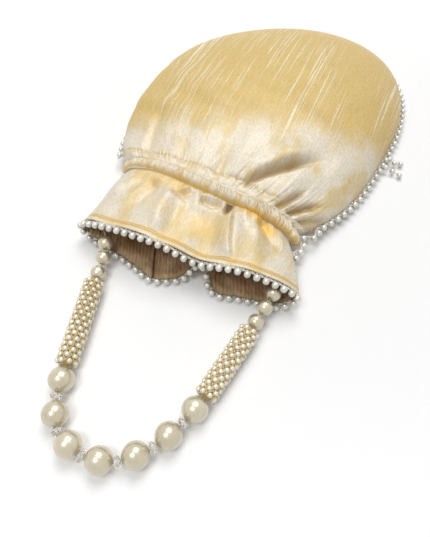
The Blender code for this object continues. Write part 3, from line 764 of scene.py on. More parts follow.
def ball(turns: int, bands: int) -> Mesh:
    """A ball of radius 1: (sin a cos b, sin a sin b, cos a), with a pole's point at each end.

    Args:
        turns: Steps of b, round it.
        bands: Steps of a, from pole to pole.

    Returns:
        The points and triangles.
    """
    a = np.linspace(0, math.pi, bands + 1)[1:-1]
    b = np.linspace(0, 2 * math.pi, turns, endpoint=False)
    wide = np.sin(a)[:, None]
    ring = np.stack([wide * np.cos(b), wide * np.sin(b), np.cos(a)[:, None] + 0 * b], -1)
    points = np.concatenate([ring.reshape(-1, 3), [[0, 0, 1], [0, 0, -1]]])
    r, c = (n.ravel() for n in np.meshgrid(np.arange(bands - 2), np.arange(turns), indexing="ij"))
    here, right = r * turns + c, r * turns + (c + 1) % turns
    sides = [np.stack([here, here + turns, right], 1), np.stack([right, here + turns, right + turns], 1)]
    c = np.arange(turns)
    top, low = len(points) - 2, len(points) - 1
    last = (bands - 2) * turns
    caps = [np.stack([np.full(turns, top), c, (c + 1) % turns], 1),
            np.stack([np.full(turns, low), last + (c + 1) % turns, last + c], 1)]
    return points, np.concatenate([*sides, *caps])


def triangles(name: str, parts: Sequence[Mesh], paint: Material,
              values: dict[str, Array] | None = None) -> Object:
    """One smooth piece out of several sets of points and triangles.

    Args:
        name: The piece's name.
        parts: The sets.
        paint: Its material.
        values: Named numbers for each vertex.

    Returns:
        The object.
    """
    starts = np.cumsum([0] + [len(points) for points, _ in parts])
    faces = np.concatenate([numbers + start for (_, numbers), start in zip(parts, starts)])
    points = np.concatenate([points for points, _ in parts])
    return new_piece(name, points, faces.ravel(), np.full(len(faces), 3), paint, None, values)


def tube(path: Array, radius: Array | float, sides: int, closed: bool = False) -> Mesh:
    """A round thread: a circle of the given radius, square to a path, at each of the path's points.

    Args:
        path: Points along the middle, (n, 3).
        radius: The radius, for all or for each point.
        sides: Corners of the section.
        closed: Whether the last point joins the first.

    Returns:
        The points and triangles, with capped ends on an open path.
    """
    if closed:
        step = np.roll(path, -1, axis=0) - np.roll(path, 1, axis=0)
    else:
        step = np.gradient(path, axis=0)
    along = unit(step)
    aside = unit(np.cross(along, NEAR_UP))
    up = np.cross(aside, along)
    count = len(path)
    angle = np.linspace(0, 2 * math.pi, sides, endpoint=False)
    size = np.broadcast_to(np.asarray(radius, float), count)[:, None]
    rings = path[:, None] + aside[:, None] * (np.cos(angle) * size)[..., None]
    rings = rings + up[:, None] * (np.sin(angle) * size)[..., None]
    spans = count if closed else count - 1
    r, c = (n.ravel() for n in np.meshgrid(np.arange(spans), np.arange(sides), indexing="ij"))
    here, right = r * sides + c, r * sides + (c + 1) % sides
    ahead, ahead_right = (r + 1) % count * sides + c, (r + 1) % count * sides + (c + 1) % sides
    faces = np.concatenate([np.stack([here, right, ahead], 1), np.stack([right, ahead_right, ahead], 1)])
    points = rings.reshape(-1, 3)
    if not closed:
        c, last = np.arange(sides), (count - 1) * sides
        caps = [np.stack([np.full(sides, len(points)), (c + 1) % sides, c], 1),
                np.stack([np.full(sides, len(points) + 1), last + c, last + (c + 1) % sides], 1)]
        points = np.concatenate([points, path[:1], path[-1:]])
        faces = np.concatenate([faces, *caps])
    return points, faces


def spaced(line: Array, pitch: float, closed: bool) -> Array:
    """Points evenly along a line.

    Args:
        line: Points along it, (n, 3).
        pitch: About the step between the points.
        closed: Whether the line's last point joins its first.

    Returns:
        The points, without the last one on a closed line.
    """
    if closed:
        line = np.vstack([line, line[:1]])
    along = np.concatenate([[0], np.cumsum(np.linalg.norm(np.diff(line, axis=0), axis=1))])
    count = max(2, round(along[-1] / pitch))
    at = np.linspace(0, along[-1], count + 1)
    at = at[:-1] if closed else at
    return np.stack([np.interp(at, along, line[:, axis]) for axis in range(3)], axis=1)


# Materials


def tint(code: str) -> Colour:
    """A colour from its six-figure code, as the light values that a shader takes."""
    parts = [int(code[i:i + 2], 16) / 255 for i in (0, 2, 4)]
    return tuple(p / 12.92 if p <= 0.04045 else ((p + 0.055) / 1.055) ** 2.4 for p in parts)


class Signal:
    """A shader socket that carries a number. Python's operators on it add Math nodes."""

    def __init__(self, paint: "Paint", socket: Socket) -> None:
        """Wraps a socket of a paint's nodes."""
        self.paint, self.socket = paint, socket

    def maths(self, operation: str, *others: Any, first: Any = None) -> "Signal":
        """Adds one Math node.

        Args:
            operation: The Math node's operation.
            others: The values after the first.
            first: The first value, where it isn't this one.

        Returns:
            The node's result.
        """
        values = [self if first is None else first, *others]
        node = self.paint.add("ShaderNodeMath", {"operation": operation}, dict(enumerate(values)))
        return Signal(self.paint, node.outputs[0])

    def __add__(self, other: Any) -> "Signal":
        """This plus other."""
        return self.maths("ADD", other)

    def __radd__(self, other: Any) -> "Signal":
        """Other plus this."""
        return self.maths("ADD", other)

    def __sub__(self, other: Any) -> "Signal":
        """This minus other."""
        return self.maths("SUBTRACT", other)

    def __rsub__(self, other: Any) -> "Signal":
        """Other minus this."""
        return self.maths("SUBTRACT", self, first=other)

    def __mul__(self, other: Any) -> "Signal":
        """This times other."""
        return self.maths("MULTIPLY", other)

    def __rmul__(self, other: Any) -> "Signal":
        """Other times this."""
        return self.maths("MULTIPLY", other)

    def __truediv__(self, other: Any) -> "Signal":
        """This divided by other."""
        return self.maths("DIVIDE", other)

    def __pow__(self, other: Any) -> "Signal":
        """This to the power of other."""
        return self.maths("POWER", other)

    def __abs__(self) -> "Signal":
        """This without its sign."""
        return self.maths("ABSOLUTE")

    def sine(self) -> "Signal":
        """The sine of this, in radians."""
        return self.maths("SINE")

    def most(self, other: Any) -> "Signal":
        """The larger of this and other."""
        return self.maths("MAXIMUM", other)

    def least(self, other: Any) -> "Signal":
        """The smaller of this and other."""
        return self.maths("MINIMUM", other)

    def eased(self, low: float, high: float) -> "Signal":
        """Runs smoothly from 0 at low to 1 at high."""
        node = self.paint.add("ShaderNodeMapRange", {"interpolation_type": "SMOOTHSTEP"},
                              {"Value": self, "From Min": low, "From Max": high})
        return Signal(self.paint, node.outputs[0])


class Paint:
    """One material's nodes with a Principled shader at their end, or the sky's with a Background shader."""

    def __init__(self, name: str, sky: bool = False) -> None:
        """Makes an empty material, or an empty world for the sky.

        Args:
            name: Its name.
            sky: Whether it is a world.
        """
        self.material = (bpy.data.worlds if sky else bpy.data.materials).new(name)
        self.material.use_nodes = True
        self.tree = self.material.node_tree
        self.tree.nodes.clear()
        self.shader = self.add("ShaderNodeBackground" if sky else "ShaderNodeBsdfPrincipled")
        end = "ShaderNodeOutputWorld" if sky else "ShaderNodeOutputMaterial"
        self.add(end, None, {"Surface": self.shader.outputs[0]})

    def add(self, kind: str, settings: dict[str, Any] | None = None,
            values: dict[Any, Any] | None = None) -> bpy.types.Node:
        """Adds a node.

        Args:
            kind: The node's type.
            settings: Its properties, and for a ramp its stops as (place, colour) pairs.
            values: A value, colour, Signal or socket for each named or numbered input.

        Returns:
            The node.
        """
        node = self.tree.nodes.new(kind)
        for key, value in (settings or {}).items():
            if key == "stops":
                ramp = node.color_ramp
                for _ in range(len(value) - 2):
                    ramp.elements.new(0.5)
                for element, (where, colour) in zip(ramp.elements, value):
                    element.position, element.color = where, (*colour, 1.0)
            else:
                setattr(node, key, value)
        for key, value in (values or {}).items():
            self.feed(node.inputs[key], value)
        return node

    def feed(self, socket: Socket, value: Any) -> None:
        """Sets an input, or links it to a signal or socket.

        Args:
            socket: The input.
            value: A number, a colour, a signal or a socket.
        """
        if isinstance(value, Signal):
            self.tree.links.new(value.socket, socket)
        elif isinstance(value, Socket):
            self.tree.links.new(value, socket)
        elif socket.type == "RGBA" and len(value) == 3:
            socket.default_value = (*value, 1.0)
        else:
            socket.default_value = value

    def cloth(self) -> tuple[Signal, Signal]:
        """Reads the piece's own UV map.

        Returns:
            Lengths across and along the cloth, in metres.
        """
        uv = self.add("ShaderNodeUVMap", {"uv_map": "cloth"})
        split = self.add("ShaderNodeSeparateXYZ", None, {0: uv.outputs[0]})
        return Signal(self, split.outputs[0]), Signal(self, split.outputs[1])

    def where(self) -> tuple[Signal, Signal, Signal]:
        """Reads the place in the object's own coordinates.

        Returns:
            x, y and z, in metres.
        """
        place = self.add("ShaderNodeTexCoord")
        split = self.add("ShaderNodeSeparateXYZ", None, {0: place.outputs["Object"]})
        return tuple(Signal(self, out) for out in split.outputs)

    def number(self, name: str) -> Signal:
        """A number kept on the piece's vertices."""
        return Signal(self, self.add("ShaderNodeAttribute", {"attribute_name": name}).outputs["Fac"])

    def seen(self) -> Signal:
        """Tells rays that show a surface from rays that light one.

        Returns:
            1 where the surface is seen, be it straight, in a gloss or through glass, and 0 elsewhere.
        """
        path = self.add("ShaderNodeLightPath")
        rays = [Signal(self, path.outputs[f"Is {ray} Ray"]) for ray in ("Camera", "Glossy", "Transmission")]
        return (rays[0] + rays[1] + rays[2]).least(1.0)

    def noise(self, x: Any, y: Any, z: Any = 0.0, detail: float = 2.0, roughness: float = 0.5) -> Signal:
        """Smooth noise about 0.5.

        Args:
            x: The place's first coordinate, in patches of the noise.
            y: Its second.
            z: Its third.
            detail: How many finer layers are added.
            roughness: How strong each finer layer is.

        Returns:
            The noise.
        """
        place = self.add("ShaderNodeCombineXYZ", None, {0: x, 1: y, 2: z})
        values = {"Vector": place.outputs[0], "Scale": 1.0, "Detail": detail, "Roughness": roughness}
        return Signal(self, self.add("ShaderNodeTexNoise", None, values).outputs[0])

    def mixed(self, low: Any, high: Any, share: Any) -> Socket:
        """A colour between two."""
        settings = {"data_type": "RGBA", "clamp_factor": True}
        return self.add("ShaderNodeMix", settings, {0: share, 6: low, 7: high}).outputs[2]

    def bump(self, height: Signal) -> Socket:
        """The surface's direction under a relief whose height is in metres."""
        values = {"Strength": 1.0, "Distance": 1.0, "Height": height}
        return self.add("ShaderNodeBump", None, values).outputs[0]

    def finish(self, **values: Any) -> Material:
        """Sets the shader's inputs.

        Args:
            values: A value, colour, signal or socket for each input, named with _ for a space.

        Returns:
            The material.
        """
        for key, value in values.items():
            self.feed(self.shader.inputs[key.replace("_", " ")], value)
        return self.material


@dataclass(frozen=True)
class DupionSilk:
    """Silk with slubs along the cloth and a crisp sheen, with a hem and a stitch row near the mouth. Its
    colour also holds painted light: pale cream sheen near the neck, yellow glow between folds and shade in
    creases.
    """

    # The cream is painted sheen near the neck; the gold is the silk beyond it
    painted_sheen_cream: str = "E8E0CF"
    gold: str = "D8BC76"
    slub: str = "F4EBD0"
    # The colour of the painted glow
    painted_glow_yellow: str = "EEC24A"
    hem_rows: tuple[float, ...] = (0.0030, 0.0042)

    def material(self) -> Material:
        """Nodes for slubs, weave, wrinkles, the hem's gold rows and the stitches, and for painted sheen, glow
        and crease shade.

        Returns:
            The material.
        """
        p = Paint("dupion_silk")
        across, along = p.cloth()
        gold, glow = p.number("gold"), p.number("glow")
        # Slubs: noise drawn out along the cloth, in clusters
        drift = p.noise(across * 24, along * 6, 3.0, 2)
        thin = p.noise(across * 950, along * 9, 7.0, 1, 0.6).eased(0.58, 0.63)
        wide = p.noise(across * 700, along * 13, 19.0, 1, 0.5).eased(0.62, 0.67)
        slubs = (thin * drift.eased(0.38, 0.54) + wide * drift.eased(0.44, 0.56)).least(1.0)
        threads = p.noise(across * 1900, along * 90, 31.0, 2)
        grain = p.noise(across * 1250, along * 430, 57.0, 3, 0.8)
        patches = p.noise(across * 60, along * 26, 11.0, 3)
        crush = p.noise(across * 150, along * 60, 43.0, 3, 0.6)
        blotches = patches.eased(0.48, 0.62) * 0.65 + crush.eased(0.50, 0.72) * 0.25
        # Golden beyond the border; the pale cream nearer the neck is painted sheen, with real golden mottles
        # mixed into it
        shade = (gold + blotches * (1 - gold)).least(1.0)
        colour = p.mixed(tint(self.painted_sheen_cream), tint(self.gold), shade)
        colour = p.mixed(colour, tint(self.slub), slubs * (0.50 + 0.45 * gold))
        # Darker between the threads and along the grain of the weave
        weave_and_painted_highlight = (0.56 - threads).most(0.0) * (0.6 + 0.7 * gold) + grain.eased(0.53, 0.39) * 0.38
        colour = p.mixed(colour, p.mixed(tint("BFA67C"), tint("B5914F"), gold), weave_and_painted_highlight)
        # Painted glow: light caught between folds, painted a deep yellow
        colour = p.mixed(colour, tint(self.painted_glow_yellow), glow * 0.80)
        # Painted shade: darker in the sharp creases, and in the casing's crevice and deep tucks
        colour = p.mixed(colour, tint("9A7A42"), p.number("crease") * 0.66)
        row = 0.0
        for place in self.hem_rows:
            row = row + (1 - (abs(along - place) / 0.00045).eased(0.5, 1.5))
        band = 1 - (abs(along - 0.0032) / 0.0024).eased(0.7, 1.2)
        colour = p.mixed(colour, tint("EFD48C"), band * 0.50)
        colour = p.mixed(colour, tint("CC9C3C"), row * 0.60)
        dashes = ((across * (2 * math.pi / 0.0026)).sine() * 0.5 + 0.5).eased(0.30, 0.60)
        stitch = (1 - (abs(along - STITCH_ROW) / 0.00040).eased(0.5, 1.4)) * dashes
        puckered = 1 - (abs(along - STITCH_ROW + 0.0010) / 0.0022).eased(0.6, 1.3)
        puckered = puckered * p.noise(across * 260, along * 620, 71.0, 2).eased(0.46, 0.58)
        colour = p.mixed(colour, tint("D0AC5E"), puckered * 0.60)
        colour = p.mixed(colour, tint("D8BC78"), stitch * 0.60)
        relief = threads * 0.00010 + grain * 0.00022 + slubs * 0.00007
        relief = relief + (crush * 0.0006 + patches * 0.0010) * (1 - 0.75 * gold)
        relief = relief - row * 0.00022 - stitch * 0.00018
        rough = (0.44 + (threads - 0.5) * 0.22 - slubs * 0.05 + gold * 0.04).most(0.2)
        return p.finish(Base_Color=colour, Roughness=rough, Metallic=0.13 - 0.05 * gold,
                        Normal=p.bump(relief), Specular_IOR_Level=0.5, Sheen_Weight=0.08,
                        Sheen_Roughness=0.35, Sheen_Tint=(*tint("FFF3D8"), 1.0))


@dataclass(frozen=True)
class LiningSilk:
    """Thin champagne lining with fine pale stripes along it and one sewn seam."""

    ground: str = "AA8258"
    stripe: str = "E8CFB0"
    seam_x: float = -0.0197
    seam_lean: float = 0.44

    def material(self) -> Material:
        """Nodes for the stripes, the soft crumple with painted shade in its hollows and painted highlight
        patches, the facing along the mouth and the seam's dark line.

        Returns:
            The material.
        """
        p = Paint("lining_silk")
        across, along = p.cloth()
        x, y, z = p.where()
        bend = p.noise(across * 90, along * 130, 2.0, 2)
        run = x + y * self.seam_lean + bend * 0.0030
        stripes = (run * (2 * math.pi / 0.0024)).sine() * 0.5 + 0.5
        streaks = p.noise(run * 700, y * 90, 5.0, 2)
        pale = (stripes.eased(0.35, 0.95) * 0.5 + streaks.eased(0.42, 0.66) * 0.4).least(1.0)
        crumple = p.noise(run * 130, y * 80, 9.0, 3)
        colour = p.mixed(tint(self.ground), tint(self.stripe), pale * 0.60)
        # Painted shade: darker brown in the crumple's hollows, where its relief is lowest
        colour = p.mixed(colour, tint("6A4A2C"), crumple.eased(0.62, 0.36) * 0.45)
        # Painted highlight: lighter patches where the crumpled lining catches the light
        weave_and_painted_highlight = p.noise(x * 75, y * 75, 4.0, 2).eased(0.46, 0.62)
        colour = p.mixed(colour, tint("DDBFA2"), weave_and_painted_highlight * 0.45)
        colour = p.mixed(colour, tint("D6BD90"), (1 - (along + bend * 0.003).eased(0.0032, 0.0056)) * 0.45)
        line = x - self.seam_x + (y + 0.160) * self.seam_lean
        seam = (1 - (abs(line) / 0.0006).eased(0.5, 1.4)) * (1 - z.eased(0.006, 0.008))
        colour = p.mixed(colour, tint("4E3620"), seam * 0.85)
        relief = crumple * 0.0020 + stripes * 0.00016 - seam * 0.0008
        return p.finish(Base_Color=colour, Roughness=0.40, Metallic=0.2, Normal=p.bump(relief),
                        Sheen_Weight=0.15, Sheen_Roughness=0.4, Sheen_Tint=(*tint("F4DFC2"), 1.0))


@dataclass(frozen=True)
class Nacre:
    """The lustre of an imitation pearl: a pale body colour under a clear coat."""

    name: str
    body: str
    shadow: str
    metallic: float
    roughness: float

    def material(self) -> Material:
        """Nodes for a slightly clouded colour that differs from pearl to pearl.

        Returns:
            The material.
        """
        p = Paint(self.name)
        x, y, z = p.where()
        cloud = p.noise(x * 260, y * 260, z * 260, 2)
        own = p.number("own")
        colour = p.mixed(tint(self.body), tint(self.shadow), (cloud.eased(0.35, 0.75) * 0.30 + own * 0.35))
        relief = p.noise(x * 700, y * 700, z * 700, 1) * 0.00003
        return p.finish(Base_Color=colour, Roughness=self.roughness, Metallic=self.metallic, Coat_Weight=1.0,
                        Coat_Roughness=0.20, Coat_IOR=1.9, Normal=p.bump(relief), Specular_IOR_Level=0.6)


@dataclass(frozen=True)
class ClearCrystal:
    """Cut clear glass."""

    def material(self) -> Material:
        """A clear shader, faintly clouded.

        Returns:
            The material.
        """
        p = Paint("clear_crystal")
        x, y, z = p.where()
        cloud = p.noise(x * 500, y * 500, z * 500, 2).eased(0.45, 0.8)
        return p.finish(Base_Color=p.mixed(tint("FAF6F2"), tint("E9E0D8"), cloud), Roughness=0.06,
                        Transmission_Weight=0.72, IOR=1.50, Coat_Weight=0.3, Coat_Roughness=0.02)


@dataclass(frozen=True)
class Thread:
    """Twisted thread: fine ridges that wind round it."""

    name: str
    light: str
    dark: str
    roughness: float

    def material(self) -> Material:
        """Nodes for the ridges of the twist and its shade.

        Returns:
            The material.
        """
        p = Paint(self.name)
        x, y, z = p.where()
        twist = ((x + y * 0.8 + z * 1.3) * (2 * math.pi / 0.0006)).sine() * 0.5 + 0.5
        fuzz = p.noise(x * 2400, y * 2400, z * 2400, 2)
        colour = p.mixed(tint(self.light), tint(self.dark), twist * 0.5 + (fuzz - 0.5) * 0.4)
        relief = twist * 0.00008 + fuzz * 0.00006
        return p.finish(Base_Color=colour, Roughness=self.roughness, Normal=p.bump(relief),
                        Sheen_Weight=0.3, Sheen_Roughness=0.5)


@dataclass(frozen=True)
class WovenElastic:
    """Flat elastic: ribs across it."""

    def material(self) -> Material:
        """Nodes for ribs and their gaps.

        Returns:
            The material.
        """
        p = Paint("woven_elastic")
        x, y, _ = p.where()
        ribs = (x * (2 * math.pi / 0.0009)).sine() * 0.5 + 0.5
        cords = (y * (2 * math.pi / 0.0011)).sine() * 0.5 + 0.5
        colour = p.mixed(tint("F1EEE6"), tint("C9C3B4"), ribs * cords)
        return p.finish(Base_Color=colour, Roughness=0.75, Normal=p.bump(ribs * 0.0001 + cords * 0.0001))


# The object's sub-assemblies


def finished(finish: Any) -> Any:
    """A dataclass field that holds a finish's material, made along with the outfit."""
    return field(default_factory=finish.material)


@dataclass
class Outfit:
    """All finishes, made once and shared by the pieces."""

    silk: Material = finished(DupionSilk())
    lining: Material = finished(LiningSilk())
    trim_pearl: Material = finished(
        Nacre("trim_pearl", body="DEDBD2", shadow="BAB5A8", metallic=0.34, roughness=0.24))
    handle_pearl: Material = finished(
        Nacre("handle_pearl", body="D3C8AD", shadow="B8AA86", metallic=0.44, roughness=0.27))
    sleeve_pearl: Material = finished(
        Nacre("sleeve_pearl", body="E9E2D1", shadow="CCC1A8", metallic=0.34, roughness=0.24))
    crystal: Material = finished(ClearCrystal())
    white_thread: Material = finished(Thread("white_thread", "F6F3EA", "CFC9B8", roughness=0.6))
    gold_thread: Material = finished(Thread("gold_thread", "F8E2A6", "DAB45E", roughness=0.4))
    # The core's gold thread is made darker than the net's, as painted shade between the sleeve's pearls
    core_thread: Material = finished(Thread("core_thread", "E0BE72", "B08B44", roughness=0.5))
    elastic: Material = finished(WovenElastic())


def body_of(node: str) -> str:
    """The moving body that a CAD node belongs to."""
    return frame["nodes"][node]["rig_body"]


def settle(piece: Object, body: str, nodes: Sequence[str] = ()) -> Object:
    """Ties a finished piece to its body, hides the CAD nodes that it stands for, and reports it.

    Args:
        piece: The finished piece.
        body: The CAD body that it moves with.
        nodes: The CAD nodes that it replaces.

    Returns:
        The piece.
    """
    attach(piece, body)
    if nodes:
        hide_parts(*nodes)
    LOG.info("%s: %d vertices on %s", piece.name, len(piece.data.vertices), body)
    return piece


def node_points(node: str) -> Array:
    """Reads a CAD node's shape.

    Args:
        node: Its name.

    Returns:
        Its vertices, (n, 3).
    """
    vertices = frame["nodes"][node].data.vertices
    points = np.zeros(len(vertices) * 3, np.float32)
    vertices.foreach_get("co", points)
    return points.reshape(-1, 3).astype(float)


@dataclass
class Pouch:
    """The sewn pouch: two silk panels, their lining, and the gathered channel at the neck."""

    form: PouchForm
    drape: Drape
    outfit: Outfit
    columns: int = 330
    rows: tuple[int, int, int] = (84, 122, 68)
    hem: float = 0.0042
    # The channel's ridge and band, how far the ridge swells where it is drawn tight, and its gathers
    ridge_half: float = 0.0039
    ridge_foot: float = 0.0043
    ridge_swell: float = 0.0013
    ridge_height: float = 0.0038
    band_height: float = 0.0017
    gathers: int = 27
    gather_height: float = 0.00070
    pleat_height: float = 0.00075
    tucks: int = 30
    tuck_height: float = 0.0014
    under_half: float = 0.7

    def build(self) -> None:
        """Makes all its pieces."""
        self.front_panel()
        self.back_panel()
        self.lining()
        self.casing()

    def _spread(self, columns: int, rows: Sequence[int]) -> tuple[Array, Array]:
        """A grid of u and v: columns closer together by the seams, rows closer together by the neck.

        Args:
            columns: Steps across.
            rows: Steps along the ruffle, the upper body and the lower body.

        Returns:
            u and v at each of the grid's places.
        """
        s = np.linspace(-1, 1, columns + 1)
        u = between(s, np.sin(s * math.pi / 2), 0.7)
        ruffle = 1 - np.linspace(1, 0, rows[0], endpoint=False) ** 1.2
        body = 1 + np.linspace(0, 1, rows[1], endpoint=False) ** 1.35
        return np.meshgrid(u, np.concatenate([ruffle, body, np.linspace(2, 3, rows[2])]))

    def _hem_rise(self, along: Array) -> Array:
        """The hem's relief: a rolled edge, then a turned-over band that ends in a small step."""
        roll, band = 0.00055 * hump(along - 0.0009, 0.0009), 0.00045 * (1 - ease((along - self.hem) / 0.0008))
        return roll + band - 0.00035 * hump(along - 0.0031, 0.00045)

    def _stitch_rise(self, along: Array, u: Array) -> Array:
        """The stitch row on the shoulder: a shallow groove with small puckers beside it.

        Args:
            along: Lengths along the cloth from the mouth's edge.
            u: Places across it.

        Returns:
            Heights, square to the cloth.
        """
        off = along - STITCH_ROW
        beside = puckers(math.pi * 31 * u + wander(u, 2, 5, 40))
        return -0.0005 * hump(off, 0.0012) + 0.0003 * beside * hump(off, 0.0030)

    def front_panel(self) -> None:
        """The front: its plain shape, pushed out square to it by the folds, the hem and the stitch row."""
        u, v = self._spread(self.columns, self.rows)
        points = self.form.place(Side.FRONT, u, v)
        along = self.form.flat_along(u, v)
        rise = self.drape.folds_at(u, v, points)
        extra = (self._hem_rise(along) + self._stitch_rise(along, u)) * (1 - np.abs(u) ** 12)
        moved = points + outward(points) * (rise + extra)[..., None]
        moved[-1] = points[-1]
        uv = np.stack([self.form.flat_across(Side.FRONT, u, v), along], axis=-1)
        values = {"gold": self.drape.gold(points), "glow": self.drape.glow(points, rise),
                  "crease": self.drape.crease(points)}
        piece = Grid(moved, pole=True, uv=uv, values=values).make("front_panel_silk", self.outfit.silk)
        self._edge(piece)
        settle(piece, "pouch", ["front_panel"])

    def back_panel(self) -> None:
        """The back, on which the pouch lies."""
        u, v = self._spread(170, (44, 60, 40))
        points = self.form.place(Side.BACK, u, v)
        uv = np.stack([self.form.flat_across(Side.BACK, u, v), self.form.flat_along(u, v)], axis=-1)
        values = {"gold": self.drape.gold(points), "glow": 0 * u}
        grid = Grid(points, pole=True, flipped=True, uv=uv, values=values)
        piece = grid.make("back_panel_silk", self.outfit.silk)
        self._edge(piece)
        settle(piece, "pouch", ["back_panel"])

    def _edge(self, piece: Object) -> None:
        """Gives the sheet's edges the cloth's thickness, inwards."""
        wall = piece.modifiers.new("cloth edge", "SOLIDIFY")
        wall.thickness, wall.offset, wall.use_rim_only = self.form.cloth, -1.0, True

    def lining(self) -> None:
        """The lining: one bag, pushed in by the panel's thickness and a growing gap, and cut at its seams."""
        share = np.linspace(-1, 1, 420, endpoint=False)
        v = np.concatenate([np.linspace(0, 1, 46, endpoint=False), np.linspace(1, 2, 34, endpoint=False),
                            np.linspace(2, 3, 24)])
        share, v = np.meshgrid(share, v)
        u = np.where(share <= 0, 2 * share + 1, 1 - 2 * share)
        points = self.form.round(share, v, 0.0)
        fold = np.where(share <= 0, self.drape.folds_at(u, v, points), 0.0)
        gap = self.form.cloth + between(0.0006, 0.0022, ease((v - 0.1) / 1.2))
        moved = points + outward(points, closed=True) * (fold - gap)[..., None]
        moved[-1] = points[-1] - np.array([0.0, 0.003, 0.0])
        moved[-2] = points[-2] - np.array([0.0, 0.003, 0.0])
        uv = np.stack([self.form.flat_across(Side.FRONT, u, v), self.form.flat_along(u, v)], axis=-1)
        half = moved.shape[1] // 2
        cuts = {"front": np.arange(half + 1), "back": np.arange(half, 2 * half + 1) % (2 * half)}
        for side, columns in cuts.items():
            cut = Grid(moved[:, columns], pole=True, flipped=True, uv=uv[:, columns])
            piece = cut.make(f"lining_{side}_cloth", self.outfit.lining)
            settle(piece, "pouch", ["lining"])

    def casing(self) -> None:
        """The gathered channel: a round ridge beside a flatter band, drawn up in fine gathers all round."""
        form = self.form
        share = np.linspace(-1, 1, 1120, endpoint=False)
        along = np.linspace(-form.casing_half, form.casing_half, 33)
        share, along = np.meshgrid(share, along)
        u = np.where(share <= 0, 2 * share + 1, 1 - 2 * share)
        tight = ease((u - 0.40) / 0.35)
        crest = between(0.0012, -0.0022, ease((u + 0.9) / 1.2)) + 0.0012 * tight
        ridge_width = self.ridge_half + self.ridge_swell * tight
        ridge = np.sqrt(np.clip(1 - ((along - crest) / ridge_width) ** 2, 0, 1))
        below = (crest - along) / (self.ridge_foot + self.ridge_swell * tight)
        reach = np.clip(np.where(along > crest, (along - crest) / (form.casing_half - crest), below), 0, 1)
        drawn = 0.55 + 0.5 * ease((u - 0.35) / 0.35) + 0.35 * hump(u - 0.20, 0.10)
        gather = math.pi * self.gathers * u + 1.3 * wander(u, 2.0, 6.0, 61) + 0.35 * np.sin(along * 420)
        gather = puckers(gather)
        deep = math.pi * self.tucks * u + 1.4 * wander(u, 3.0, 8.0, 67) + 0.7 * np.sin(along * 260)
        deep = puckers(deep)
        pleat = wander(u, 8.0, 16.0, 63)
        wall = np.where(share <= 0, 1.0, self.under_half)
        lift = -0.0007 + wall * (self.band_height * (1 - reach**6) + self.ridge_height * ridge)
        fine = self.gather_height * gather + self.pleat_height * pleat
        lift = lift + drawn * wall * fine * (0.45 + 0.55 * ridge) * (1 - reach**4)
        lift = lift - 0.0004 * hump(along - (crest + 0.0046), 0.0006) * (reach < 0.95)
        lift = lift + self.tuck_height * deep * tight * wall * (0.35 + 0.65 * ridge) * (1 - reach**4)
        points = form.neck_ring(share, along, lift)
        flat = form.flat_along(u, 1 + 0 * u) + along + 0.2
        uv = np.stack([u * form.body_half_width, flat], axis=-1)
        # Painted glow: light caught in the gathers' valleys, and a yellow line painted under the ridge
        painted_caught_light = np.clip(0.10 - gather * 0.25, 0, 1) * 0.6
        glow = np.clip(hump(along - (crest - 0.0040), 0.0009) + painted_caught_light, 0, 1)
        # Painted shade in the crevice at the ridge's foot and in the valleys of the deep tucks
        crevice_shade = hump(along - (crest - self.ridge_foot - 0.0010 * tight), 0.0006)
        crevice_shade = crevice_shade * (0.30 + 0.60 * ease(u / 0.5))
        crease = np.clip(crevice_shade + np.clip(-0.10 - deep * 0.9, 0, 1) * tight * 0.85, 0, 1)
        values = {"gold": 0 * u + 0.08, "glow": glow, "crease": crease}
        piece = Grid(points, closed=True, uv=uv, values=values).make("neck_casing_silk", self.outfit.silk)
        settle(piece, "pouch", ["neck_casing"])


